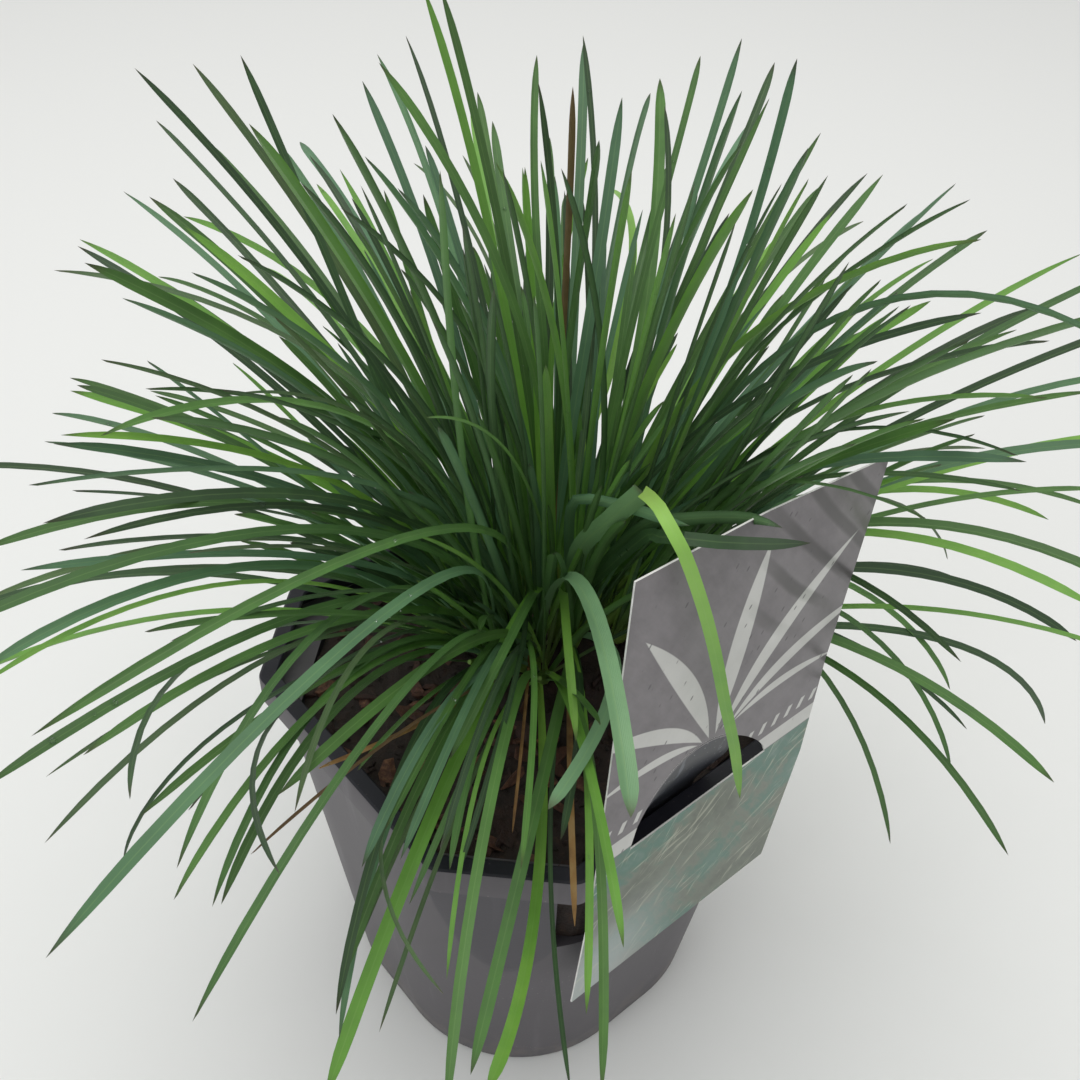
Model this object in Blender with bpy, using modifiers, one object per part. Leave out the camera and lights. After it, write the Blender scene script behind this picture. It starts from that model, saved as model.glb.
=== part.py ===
"""Potted hair grass: an octagonal plastic nursery pot of soil, a hang label on its rim and a tuft of
leafy shoots. Metres, +Z up. The origin is the middle of the pot's flat underside, and the pot's front
corner faces -Y.
"""

import math
import random

import bmesh
import bpy
import numpy as np
from mathutils import Vector

# Pot
POT_WIDTH = 0.170            # across the rim's long sides
RIM_CORNER_WIDTH = 0.193     # across the rim's cut corners
POT_HEIGHT = 0.163
BASE_WIDTH = 0.134
BODY_TOP_WIDTH = 0.1694      # of the tapering wall, where it meets the rim's band
CORNER_ROUNDING = 40.5       # percent of a side that each corner's arc takes up
CORNER_STEPS = 9
FACET_WIDTH = 0.1668         # across the flat facets under the cut corners
BAND_HEIGHT = 0.0115
BAND_LOW = POT_HEIGHT - BAND_HEIGHT
BAND_EDGE_RADIUS = 0.007
LEAST_EDGE_RADIUS = 0.001
BAND_EDGE_STEPS = 2
RIM_FLANGE = 0.0065          # width of the rim's flat top
RIM_THICKNESS = 0.0016
WALL = 0.0015
FLOOR = 0.0025
DRAIN_HOLES = 8
DRAIN_RADIUS = 0.0045
DRAIN_CIRCLE = 0.046
DRAIN_SIDES = 12
SLOT_X = (0.0165, 0.0290)    # the stick-label slot in the front facet
SLOT_Y = (-0.100, -0.060)
SLOT_Z = (0.105, 0.136)
SMOOTH_ANGLE = math.radians(30)

# How far solids reach into each other before they are joined, and past what they cut
OVERLAP = 0.0005
CUT_MARGIN = 0.01

# Soil
GAP = 0.0003                 # between pieces that touch
SOIL_TOP = 0.150
SOIL_RINGS = (0.86, 0.70, 0.54, 0.38, 0.20)   # its top's rings, as shares of its outline
SOIL_LUMP = 0.0040           # the depth of its hollows
SOIL_LEVEL_AT_CROWN = 0.004  # width of the level ring round the shoots
SOIL_LEVEL_AT_WALL = 0.008
SAME_HEIGHT = 0.001          # points that differ less stand on one level

# Label, hooked over the rim's front right side
LABEL_LEFT = -0.047          # along the side, from its middle
LABEL_RIGHT = 0.052
LABEL_BOTTOM = 0.083
LABEL_TOP = 0.284
LABEL_THICKNESS = 0.0006
LABEL_FACE = POT_WIDTH / 2 + GAP + LABEL_THICKNESS / 2
LABEL_FOLD = BAND_LOW - 0.001
LABEL_TUCK = math.radians(4.0)   # how far the lower part follows the tapering wall
LABEL_LEAN = 0.0006          # how far its top leans back

# The opening that the tongue leaves: a straight lip at the rim under a lopsided arch
LIP = POT_HEIGHT + 0.0025
LIP_SLOPE = 0.001
ARCH_LEFT = -0.032
ARCH_RIGHT = 0.029
ARCH_RISE = 0.030
ARCH_STEPS = 8
ARCH_SKEW = 1.45
ARCH_FULLNESS = 0.8

# The tongue's rows: distance behind the label's face, height and half width
TONGUE_MIDDLE = -0.010
TONGUE = (
    (0.0000, LIP + 0.0330, 0.016),
    (0.0018, LIP + 0.0230, 0.019),
    (0.0052, LIP + 0.0120, 0.022),
    (0.0086, LIP + 0.0010, 0.022),
    (0.0100, POT_HEIGHT - 0.0095, 0.017),
)

# Tuft
CROWN = Vector((0.005, 0.029, SOIL_TOP + GAP))
CROWN_RADIUS = 0.034
SHOOTS = 50
GOLDEN_ANGLE = math.radians(137.508)
ATTEMPTS = 60                # at placing each shoot clear of the others
CLEARANCE = 0.0068           # between the middle lines of blades of different shoots
LEAST_CLEARANCE = 0.0058     # a shoot that finds less room is left out
HOLDER_MARGIN = 0.006        # within which a blade counts as near the label or the rim
RIM_MARGIN = 0.004
SAMPLE_STEP = 0.005

# Growth, in metres and degrees: at the crown's middle, what its edge adds, what the front adds there
LEAN = (3, 57)
LEAN_CHANCE = 3
LEAN_POWER = 1.1
DROOP = (8, 28, 42)
DROOP_CHANCE = (-4, 6)
DROOP_POWER = 1.5
LENGTH = (0.190, 0.035, -0.025)
LENGTH_CHANCE = (-0.016, 0.010)
TURN_CHANCE = 0.10
TURN_LOOSENS = 20            # attempts after which that chance has doubled
LEAN_LOOSENS = 90            # attempts after which a shoot would stand upright
SIDE_SPREAD = math.radians(9)
SIDE_TILT = math.radians(4)
LEAST_SPREAD_LEAN = 0.22
FIRST_SIDE = (1.1, 0.86)     # share of the middle blade's droop and of its length
SECOND_SIDE = (0.9, 0.92)

# Blades
SHEATH_LENGTH = 0.030
SHEATH_WIDTH = 0.0052
SHEATH_DEPTH = 0.0040
SHEATH_LEAN = 0.86           # share of a shoot's lean that its sheath has
FORK = 0.62                  # where along the sheath the side blades part from it
BLADE_WIDTH = 0.0052
SIDE_BLADE_WIDTH = 0.00468
BLADE_KEEL = 0.0010
SHOOT_STEPS = 9
BLADE_STEPS = 7
BEND_POWER = 1.4
WIDTH_AT_SHEATH = 0.62
FULL_WIDTH_AT = 0.3
TAPERS_FROM = 0.6
TIP_WIDTH = 0.15
TAPER_POWER = 1.8


def clear_scene():
    for item in list(bpy.data.objects):
        bpy.data.objects.remove(item, do_unlink=True)


def new_collection(name):
    found = bpy.data.collections.get(name) or bpy.data.collections.new(name)
    if found.name not in bpy.context.scene.collection.children:
        bpy.context.scene.collection.children.link(found)
    return found


def material(name, colour, roughness):
    made = bpy.data.materials.new(name)
    made.use_nodes = True
    shader = made.node_tree.nodes["Principled BSDF"]
    shader.inputs["Base Color"].default_value = (*colour, 1.0)
    shader.inputs["Roughness"].default_value = roughness
    shader.inputs["Metallic"].default_value = 0.0
    return made


def add_object(name, mesh, collection):
    made = bpy.data.objects.new(name, mesh)
    collection.objects.link(made)
    return made


def mesh_from(bm, name):
    bmesh.ops.recalc_face_normals(bm, faces=bm.faces)
    mesh = bpy.data.meshes.new(name)
    bm.to_mesh(mesh)
    bm.free()
    return mesh


def evaluated_mesh(item):
    """A plain mesh of an object with its modifiers applied."""
    bpy.context.view_layer.update()
    graph = bpy.context.evaluated_depsgraph_get()
    return bpy.data.meshes.new_from_object(item.evaluated_get(graph))


def combine(target, tool, operation):
    """Applies one exact Boolean to target and removes the tool."""
    step = target.modifiers.new(operation.lower(), "BOOLEAN")
    step.operation = operation
    step.solver = "EXACT"
    step.object = tool
    old = target.data
    target.data = evaluated_mesh(target)
    target.modifiers.remove(step)
    bpy.data.meshes.remove(old)
    bpy.data.objects.remove(tool, do_unlink=True)


def tapered_square(name, low_width, high_width, low, high, collection):
    """A tapered block with its edges facing +-X and +-Y."""
    bm = bmesh.new()
    bmesh.ops.create_cone(
        bm,
        cap_ends=True,
        segments=4,
        radius1=low_width / math.sqrt(2),
        radius2=high_width / math.sqrt(2),
        depth=high - low,
    )
    bmesh.ops.translate(bm, verts=bm.verts, vec=(0, 0, (low + high) / 2))
    return add_object(name, mesh_from(bm, name), collection)


def bevel_uprights(item, offset, segments, offset_type="OFFSET"):
    bm = bmesh.new()
    bm.from_mesh(item.data)
    uprights = [e for e in bm.edges if abs(e.verts[0].co.z - e.verts[1].co.z) > SAME_HEIGHT]
    bmesh.ops.bevel(
        bm,
        geom=uprights,
        offset=offset,
        offset_type=offset_type,
        segments=segments,
        profile=0.5,
        affect="EDGES",
    )
    bm.to_mesh(item.data)
    bm.free()


def box(name, low, high, collection):
    bm = bmesh.new()
    bmesh.ops.create_cube(bm, size=1.0)
    size = [b - a for a, b in zip(low, high)]
    middle = [(a + b) / 2 for a, b in zip(low, high)]
    bmesh.ops.scale(bm, verts=bm.verts, vec=size)
    bmesh.ops.translate(bm, verts=bm.verts, vec=middle)
    return add_object(name, mesh_from(bm, name), collection)


def rounded_body(name, inset, low, high, collection):
    """The pot's tapering body, moved in by inset, with its corners cut by the facets."""
    slope = (BODY_TOP_WIDTH - BASE_WIDTH) / BAND_LOW
    low_width = BASE_WIDTH + slope * low - 2 * inset
    high_width = BASE_WIDTH + slope * high - 2 * inset
    body = tapered_square(name, low_width, high_width, low, high, collection)
    bevel_uprights(body, CORNER_ROUNDING, CORNER_STEPS, "PERCENT")
    half = FACET_WIDTH / 2 - inset
    lowest = (-half, -half, low - CUT_MARGIN)
    highest = (half, half, high + CUT_MARGIN)
    combine(body, box("facets", lowest, highest, collection), "INTERSECT")
    return body


def rim_block(name, inset, low, high, collection):
    """An octagonal block with the rim's outline, moved in by inset."""
    width = POT_WIDTH - 2 * inset
    block = tapered_square(name, width, width, low, high, collection)
    cut = (width / math.sqrt(2) - (RIM_CORNER_WIDTH / 2 - inset)) * math.sqrt(2)
    bevel_uprights(block, cut, 1)
    bevel_uprights(block, max(BAND_EDGE_RADIUS - inset, LEAST_EDGE_RADIUS), BAND_EDGE_STEPS)
    return block


def drill(name, x, y, collection):
    """A round cutter through the pot's floor."""
    bm = bmesh.new()
    bmesh.ops.create_cone(
        bm,
        cap_ends=True,
        segments=DRAIN_SIDES,
        radius1=DRAIN_RADIUS,
        radius2=DRAIN_RADIUS,
        depth=FLOOR + 2 * CUT_MARGIN,
    )
    bmesh.ops.translate(bm, verts=bm.verts, vec=(x, y, FLOOR / 2))
    return add_object(name, mesh_from(bm, name), collection)


def make_pot(collection):
    pot = rounded_body("pot", 0.0, 0.0, BAND_LOW + OVERLAP, collection)
    combine(pot, rim_block("band", 0.0, BAND_LOW, POT_HEIGHT, collection), "UNION")
    hollow = rounded_body("hollow", WALL, FLOOR, BAND_LOW + WALL + OVERLAP, collection)
    combine(pot, hollow, "DIFFERENCE")
    under_rim = POT_HEIGHT - RIM_THICKNESS
    rim_hollow = rim_block("rim_hollow", WALL, BAND_LOW + WALL, under_rim, collection)
    combine(pot, rim_hollow, "DIFFERENCE")
    mouth = rim_block("mouth", RIM_FLANGE, under_rim - OVERLAP, POT_HEIGHT + CUT_MARGIN, collection)
    combine(pot, mouth, "DIFFERENCE")
    for i in range(DRAIN_HOLES):
        turn = 2 * math.pi * (i + 0.5) / DRAIN_HOLES
        x = DRAIN_CIRCLE * math.cos(turn)
        y = DRAIN_CIRCLE * math.sin(turn)
        combine(pot, drill("drain", x, y, collection), "DIFFERENCE")
    slot_low, slot_high = zip(SLOT_X, SLOT_Y, SLOT_Z)
    combine(pot, box("slot", slot_low, slot_high, collection), "DIFFERENCE")
    pot.data.materials.append(material("pot_plastic", (0.105, 0.102, 0.112), 0.45))
    pot.data.shade_smooth()
    pot.data.set_sharp_from_angle(angle=SMOOTH_ANGLE)
    return pot


def make_soil(collection, rng):
    """The root ball: it fills the pot up to SOIL_TOP and has a lumpy top, level under the shoots."""
    soil = rounded_body("soil", WALL + GAP, FLOOR + GAP, SOIL_TOP, collection)
    bm = bmesh.new()
    bm.from_mesh(soil.data)
    level = SOIL_TOP - SAME_HEIGHT
    top = [f for f in bm.faces if f.normal.z > 0.9 and f.calc_center_median().z > level]
    size = 1.0
    for share in SOIL_RINGS:
        made = bmesh.ops.extrude_face_region(bm, geom=top)["geom"]
        bmesh.ops.delete(bm, geom=top, context="FACES_ONLY")
        top = [g for g in made if isinstance(g, bmesh.types.BMFace)]
        ring = [g for g in made if isinstance(g, bmesh.types.BMVert)]
        bmesh.ops.scale(bm, verts=ring, vec=(share / size, share / size, 1.0))
        size = share
    for vert in bm.verts:
        side = max(abs(vert.co.x + vert.co.y), abs(vert.co.x - vert.co.y)) / math.sqrt(2)
        near_wall = side > POT_WIDTH / 2 - SOIL_LEVEL_AT_WALL
        from_crown = math.hypot(vert.co.x - CROWN.x, vert.co.y - CROWN.y)
        near_crown = from_crown < CROWN_RADIUS + SOIL_LEVEL_AT_CROWN
        if vert.co.z > level and not near_wall and not near_crown:
            vert.co.z -= rng.uniform(0.0, SOIL_LUMP)
    soil.data.materials.append(material("soil", (0.030, 0.017, 0.014), 0.95))
    bm.to_mesh(soil.data)
    bm.free()
    return soil


def on_side(along, out, up):
    """A point by its place along the pot's front right side, its distance from the pot's axis
    and its height."""
    x = (out + along) / math.sqrt(2)
    y = (along - out) / math.sqrt(2)
    return Vector((x, y, up))


def sheet(name, rows, thickness, collection):
    """A thin solid sheet through rows of points."""
    bm = bmesh.new()
    grid = [[bm.verts.new(p) for p in row] for row in rows]
    for low, high in zip(grid, grid[1:]):
        for i in range(len(low) - 1):
            bm.faces.new((low[i], low[i + 1], high[i + 1], high[i]))
    made = add_object(name, mesh_from(bm, name), collection)
    solid = made.modifiers.new("thickness", "SOLIDIFY")
    solid.thickness = thickness
    solid.offset = 0.0
    old = made.data
    made.data = evaluated_mesh(made)
    made.modifiers.remove(solid)
    bpy.data.meshes.remove(old)
    return made


def make_opening(collection):
    """The cutter for the label's opening."""
    outline = [(ARCH_LEFT, LIP), (ARCH_RIGHT, LIP + LIP_SLOPE)]
    for i in range(1, ARCH_STEPS):
        share = i / ARCH_STEPS
        rise = ARCH_RISE * math.sin(math.pi * share ** ARCH_SKEW) ** ARCH_FULLNESS
        outline.append((ARCH_RIGHT + (ARCH_LEFT - ARCH_RIGHT) * share, LIP + LIP_SLOPE + rise))
    bm = bmesh.new()
    front = [bm.verts.new(on_side(along, LABEL_FACE + CUT_MARGIN, up)) for along, up in outline]
    pushed = bmesh.ops.extrude_face_region(bm, geom=[bm.faces.new(front)])
    moved = [v for v in pushed["geom"] if isinstance(v, bmesh.types.BMVert)]
    bmesh.ops.translate(bm, verts=moved, vec=on_side(0.0, -2 * CUT_MARGIN, 0.0))
    return add_object("opening", mesh_from(bm, "opening"), collection)


def make_label(collection):
    """A sheet that stands on the rim's front right side. A tongue cut from it bends in from the
    top of its opening and goes down behind the rim, and the rest of it hangs outside the wall."""
    levels = [
        (LABEL_FACE - (LABEL_FOLD - LABEL_BOTTOM) * math.tan(LABEL_TUCK), LABEL_BOTTOM),
        (LABEL_FACE, LABEL_FOLD),
        (LABEL_FACE, (POT_HEIGHT + LABEL_TOP) / 2),
        (LABEL_FACE - LABEL_LEAN, LABEL_TOP),
    ]
    columns = [LABEL_LEFT, (LABEL_LEFT + LABEL_RIGHT) / 2, LABEL_RIGHT]
    rows = [[on_side(along, out, up) for along in columns] for out, up in levels]
    label = sheet("label", rows, LABEL_THICKNESS, collection)
    combine(label, make_opening(collection), "DIFFERENCE")
    rows = [
        [on_side(TONGUE_MIDDLE + side * half, LABEL_FACE - back, up) for side in (-1, 0, 1)]
        for back, up, half in TONGUE
    ]
    combine(label, sheet("tongue", rows, LABEL_THICKNESS, collection), "UNION")
    label.data.materials.append(material("label_plastic", (0.21, 0.20, 0.21), 0.4))
    return label


def bend_path(start, azimuth, lean, droop, length, steps):
    """Points and headings of a stalk that starts at a lean from upright and bows over by droop."""
    points = [Vector(start)]
    headings = []
    level = Vector((math.cos(azimuth), math.sin(azimuth), 0.0))
    for i in range(steps):
        share = (i + 0.5) / steps
        angle = lean + droop * share ** BEND_POWER
        heading = level * math.sin(angle) + Vector((0, 0, math.cos(angle)))
        headings.append(heading)
        points.append(points[-1] + heading * (length / steps))
    headings.append(headings[-1])
    return points, headings


def ribbon(name, points, headings, azimuth, widths, depths, collection, level_base=False):
    """A blade with a flat upper face and a keel below, tapering to a point at its last point."""
    side = Vector((-math.sin(azimuth), math.cos(azimuth), 0.0))
    bm = bmesh.new()
    rings = []
    for i in range(len(points) - 1):
        up = side.cross(headings[i])
        if level_base and i == 0:
            up = side.cross(Vector((0, 0, 1)))
        up.normalize()
        middle = points[i]
        rings.append([
            bm.verts.new(middle + side * widths[i] / 2 + up * depths[i] / 3),
            bm.verts.new(middle - side * widths[i] / 2 + up * depths[i] / 3),
            bm.verts.new(middle - up * depths[i] * 2 / 3),
        ])
    tip = bm.verts.new(points[-1])
    bm.faces.new(rings[0])
    for low, high in zip(rings, rings[1:]):
        for j in range(3):
            k = (j + 1) % 3
            bm.faces.new((low[j], low[k], high[k], high[j]))
    for j in range(3):
        bm.faces.new((rings[-1][j], rings[-1][(j + 1) % 3], tip))
    bmesh.ops.triangulate(bm, faces=bm.faces)
    return add_object(name, mesh_from(bm, name), collection)


def blade_widths(steps, width):
    """A blade's width at each step: it grows from the sheath on and tapers towards the tip."""
    made = []
    for i in range(steps + 1):
        share = i / steps
        grown = WIDTH_AT_SHEATH + (1 - WIDTH_AT_SHEATH) * min(share / FULL_WIDTH_AT, 1.0)
        ending = max((share - TAPERS_FROM) / (1 - TAPERS_FROM), 0.0)
        made.append(width * grown * (1 - (1 - TIP_WIDTH) * ending ** TAPER_POWER))
    return made


def shoot_plan(index, attempt, rng):
    """Where a shoot stands on the crown and how each of its blades grows, as a list of
    (azimuth, lean, droop, length) with the middle blade first. Later attempts stand steeper."""
    reach = math.sqrt((index + 0.5) / SHOOTS)
    azimuth = index * GOLDEN_ANGLE
    azimuth += rng.uniform(-TURN_CHANCE, TURN_CHANCE) * (1 + attempt / TURN_LOOSENS)
    foot = CROWN + Vector((math.cos(azimuth), math.sin(azimuth), 0)) * reach * CROWN_RADIUS
    front = 0.5 - 0.5 * math.sin(azimuth)
    lean = LEAN[0] + LEAN[1] * reach ** LEAN_POWER + rng.uniform(-LEAN_CHANCE, LEAN_CHANCE)
    lean = math.radians(lean) * (1 - attempt / LEAN_LOOSENS)
    droop = DROOP[0] + (DROOP[1] + DROOP[2] * front) * reach ** DROOP_POWER
    droop = math.radians(droop + rng.uniform(*DROOP_CHANCE))
    length = LENGTH[0] + (LENGTH[1] + LENGTH[2] * front) * reach + rng.uniform(*LENGTH_CHANCE)
    spread = SIDE_SPREAD / max(math.sin(lean), LEAST_SPREAD_LEAN)
    blades = [(azimuth, lean, droop, length)]
    for side, (droops, long) in ((1, FIRST_SIDE), (-1, SECOND_SIDE)):
        blades.append((
            azimuth + side * spread, lean + side * SIDE_TILT, droop * droops, length * long,
        ))
    return foot, blades


def shoot_lines(foot, blades):
    """Each blade's points and headings. The middle blade begins with the sheath."""
    azimuth, lean, droop, length = blades[0]
    first = lean * SHEATH_LEAN
    middle = bend_path(
        foot, azimuth, first, droop + lean - first, length + SHEATH_LENGTH, SHOOT_STEPS
    )
    fork = foot + (middle[0][1] - foot).normalized() * SHEATH_LENGTH * FORK
    sides = [
        bend_path(fork, turn, tilt, bow, long, BLADE_STEPS) for turn, tilt, bow, long in blades[1:]
    ]
    return [middle] + sides


def samples(line):
    """Points a few millimetres apart along a line of points."""
    found = []
    for a, b in zip(line, line[1:]):
        count = max(int((b - a).length / SAMPLE_STEP), 1)
        found += [a.lerp(b, i / count) for i in range(count)]
    return found + [line[-1]]


def nearest(points, others):
    """The least distance between two sets of points."""
    return np.sqrt(((points[:, None, :] - others[None, :, :]) ** 2).sum(axis=2).min())


def inside_octagon(point):
    """How far a point lies inside the rim's outline. Outside it, the distance is negative."""
    long_sides = max(abs(point.x + point.y), abs(point.x - point.y)) / math.sqrt(2)
    corners = max(abs(point.x), abs(point.y))
    return min(POT_WIDTH / 2 - long_sides, RIM_CORNER_WIDTH / 2 - corners)


def holder_gap(point):
    """A point's rough distance from the label and from the pot's rim and wall, or a metre where
    it is near neither."""
    out = (point.x - point.y) / math.sqrt(2)
    along = (point.x + point.y) / math.sqrt(2)
    gap = 1.0
    beside = LABEL_LEFT - HOLDER_MARGIN < along < LABEL_RIGHT + HOLDER_MARGIN
    if beside and point.z < LABEL_TOP + HOLDER_MARGIN:
        gap = abs(out - LABEL_FACE)
    inside = inside_octagon(point)
    if point.z < POT_HEIGHT + HOLDER_MARGIN and inside < RIM_FLANGE + RIM_MARGIN:
        gap = min(gap, max(-inside, point.z - POT_HEIGHT))
    return gap


def plan_tuft(rng):
    """Shoots one by one, each turned and bent afresh until its blades clear those before it."""
    placed = []
    for index in range(SHOOTS):
        best = None
        for attempt in range(ATTEMPTS):
            foot, blades = shoot_plan(index, attempt, rng)
            lines = shoot_lines(foot, blades)
            own = [p for points, _ in lines for p in samples(points)]
            gap = min(holder_gap(p) for p in own)
            own = np.array(own)
            if placed:
                gap = min(gap, nearest(own, np.concatenate([other for _, _, other in placed])))
            if best is None or gap > best[0]:
                best = (gap, blades, lines, own)
            if gap > CLEARANCE:
                break
        if best[0] > LEAST_CLEARANCE:
            placed.append(best[1:])
    return placed


def make_shoot(number, blades, lines, collection):
    name = f"shoot_{number:02d}"
    points, headings = lines[0]
    widths = blade_widths(SHOOT_STEPS, BLADE_WIDTH)
    widths[0] = widths[1] = SHEATH_WIDTH
    depths = [BLADE_KEEL] * (SHOOT_STEPS + 1)
    depths[0] = SHEATH_DEPTH
    depths[1] = (SHEATH_DEPTH + BLADE_KEEL) / 2
    shoot = ribbon(name, points, headings, blades[0][0], widths, depths, collection, True)
    widths = blade_widths(BLADE_STEPS, SIDE_BLADE_WIDTH)
    depths = [BLADE_KEEL] * (BLADE_STEPS + 1)
    for (azimuth, *_), (points, headings) in zip(blades[1:], lines[1:]):
        blade = ribbon("blade", points, headings, azimuth, widths, depths, collection)
        combine(shoot, blade, "UNION")
    shoot.data.materials.clear()
    shoot.data.materials.append(material(name, (0.085, 0.20, 0.055), 0.5))
    return shoot


def main():
    clear_scene()
    parts = new_collection("potted_hair_grass")
    rng = random.Random(7)
    make_pot(parts)
    make_soil(parts, rng)
    make_label(parts)
    for number, (blades, lines, _) in enumerate(plan_tuft(rng), start=1):
        make_shoot(number, blades, lines, parts)


main()
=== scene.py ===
"""Looks of a pot of ornamental grass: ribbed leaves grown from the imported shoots, bark-strewn
soil, a moulded pot and a printed hang label. Metres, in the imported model's frame. Pixels are
those of a photograph 1080 pixels wide and high.
"""

import heapq
import math
import random

import bmesh
import bpy
import numpy as np
from mathutils import Matrix, Vector, noise


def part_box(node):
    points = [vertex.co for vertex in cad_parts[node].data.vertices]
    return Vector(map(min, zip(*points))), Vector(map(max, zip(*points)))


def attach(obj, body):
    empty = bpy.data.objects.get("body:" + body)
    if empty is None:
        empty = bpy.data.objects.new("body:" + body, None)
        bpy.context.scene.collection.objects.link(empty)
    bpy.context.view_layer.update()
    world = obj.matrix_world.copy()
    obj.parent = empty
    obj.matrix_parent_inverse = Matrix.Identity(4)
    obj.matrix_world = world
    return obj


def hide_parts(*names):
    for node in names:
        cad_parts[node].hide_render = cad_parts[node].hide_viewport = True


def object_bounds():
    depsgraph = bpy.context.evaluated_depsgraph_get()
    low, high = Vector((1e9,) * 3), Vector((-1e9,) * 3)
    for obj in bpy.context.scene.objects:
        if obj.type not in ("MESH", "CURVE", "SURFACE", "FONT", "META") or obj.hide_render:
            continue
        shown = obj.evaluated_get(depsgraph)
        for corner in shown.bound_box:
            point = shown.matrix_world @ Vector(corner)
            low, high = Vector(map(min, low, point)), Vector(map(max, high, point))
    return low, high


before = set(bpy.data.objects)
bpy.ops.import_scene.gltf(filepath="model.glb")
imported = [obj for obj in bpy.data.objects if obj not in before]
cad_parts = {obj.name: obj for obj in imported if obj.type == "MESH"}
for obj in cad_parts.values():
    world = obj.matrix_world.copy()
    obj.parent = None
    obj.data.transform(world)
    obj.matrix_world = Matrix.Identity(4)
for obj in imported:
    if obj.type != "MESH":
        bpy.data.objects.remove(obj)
cad_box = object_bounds()

# Camera
IMAGE_SIDE = 1080
FOCAL_PIXELS = 1204.45
SENSOR_WIDTH = 36.0
CAMERA_PLACE = np.array((0.0186, -0.3089, 0.4805))
CAMERA_YAW = math.radians(-3.37)
CAMERA_PITCH = math.radians(40.39)
CAMERA_ROLL = math.radians(2.59)

# Pot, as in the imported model
POT_WIDTH = 0.170
RIM_CORNER_WIDTH = 0.193
POT_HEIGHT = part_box("pot")[1].z
BASE_WIDTH = 0.134
CORNER_SHARE = 0.405
FACET_WIDTH = 0.1668
FACET_FOOT = 0.0883    # the height at which the facets begin
CREASE = 24            # edges sharper than this many degrees stay sharp
BAND_HEIGHT = 0.0115
BAND_EDGE_RADIUS = 0.007
RIM_FLANGE = 0.0065
RIM_THICKNESS = 0.0016
WALL = 0.0015
FLOOR = 0.0025
DRAIN_HOLES = 8
DRAIN_RADIUS = 0.0045
DRAIN_CIRCLE = 0.046
SLOT_X = (0.0165, 0.0290)
SLOT_Z = (0.105, 0.136)
STRAIGHT_STEPS = 4
ARC_STEPS = 12
FACET_STEPS = 6

# Soil
GAP = 0.0003
SOIL_TOP = 0.150
SOIL_RINGS = 44
BARK_CHIPS = 230
CRUMBS = 900

# Label
LABEL_LEFT = -0.047
LABEL_RIGHT = 0.052
LABEL_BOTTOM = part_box("label")[0].z
LABEL_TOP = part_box("label")[1].z
LABEL_THICKNESS = 0.0006
LABEL_TUCK = math.radians(4.0)
TO_LABEL = np.array((1.0, -1.0, 0.0)) / math.sqrt(2)
LABEL_FACE = POT_WIDTH / 2 + GAP + LABEL_THICKNESS / 2
LIP = POT_HEIGHT + 0.0025
ARCH_LEFT = -0.0325
ARCH_RIGHT = 0.0295
ARCH_RISE = 0.0285
LABEL_SLOPE = 0.0040
LABEL_LEAN = 0.0006
LABEL_SHIFTS = (0.0034, 0.0018)    # how far the top's two corners stand to the right
LABEL_CURL = 0.0088
TONGUE_MIDDLE = -0.010
TONGUE_BACKS = (0.0, -0.0018, -0.0052, -0.0086, -0.0100)    # from its fold down to its end
TONGUE_HALF = 0.016
TONGUE_BULGE = 0.006

# The print, in decimetres: its white band, its row of ticks and the softness of their edges
PRINT_BAND = (1.675, 1.755)
PRINT_TICKS = (1.785, 1.835)
PRINT_EDGE = 0.004

# The print's blades: foot, direction in degrees, length, half width and bend
PRINTED_BLADES = [
    ((-0.08, 1.97), 152, 0.40, 0.020, 0.16),
    ((-0.06, 1.97), 130, 0.56, 0.032, 0.20),
    ((-0.03, 1.97), 109, 0.70, 0.036, 0.12),
    ((0.00, 1.97), 86, 0.74, 0.040, -0.04),
    ((0.03, 1.97), 64, 0.72, 0.036, -0.16),
    ((0.06, 1.97), 44, 0.60, 0.032, -0.24),
    ((0.08, 1.97), 24, 0.44, 0.022, -0.18),
]

# Leaves
LEAF_WIDTH = 0.0036
LEAF_THICKNESS = 0.00030
USUAL_PIXELS = 8.0    # how wide a leaf of width 1 is seen
TUFT_CENTRE = (545, 560)
COMMON_TINTS = ("dark", "green", "green", "blue", "light")
CROWN = Vector((0.005, 0.029, SOIL_TOP + GAP))
CROWN_RADIUS = 0.034
BEND_POWER = 1.4
SHARES = np.concatenate([np.linspace(0.0, 0.92, 21), [0.948, 0.968, 0.983, 0.993, 1.0]])
SEEN_RING = 13    # the ring of a leaf whose width is matched to the photograph
SECTION = ((-0.5, 0), (-0.25, 0), (0.0, 0), (0.25, 0), (0.5, 0), (0.25, 1), (0.0, 1), (-0.25, 1))
LEAST_SHOWN = 0.65    # a leaf seen on edge is widened by this share at most
PACKED_LEAVES = 3
SHORTEST = 0.08       # from foot to tip, in a packed shoot
TIPS_APART = 0.012
TAKEN_WITHIN = 0.080  # a fitted tip this near stands for a packed leaf
SIDE_LEAF_SHARE = 0.998
KEPT_POINTS = 30      # lines cut shorter than this are left out
FOOT_SPREAD = 0.0014
FILLERS = 4
FILLER_SPREAD = 0.002
MORE_DROPS = 60
DROP_RADIUS = (0.0004, 0.0008)
SHEATH_LENGTH = 0.026
SHEATH_SIDES = 10
# Shares of the sheath's length with its radius there
SHEATH_RINGS = ((0.0, 0.0026), (0.12, 0.0027), (0.45, 0.0023), (0.80, 0.0017), (1.0, 0.0008))
SHEATH_TINT = (0.75, 0.1, 0.15)

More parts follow.
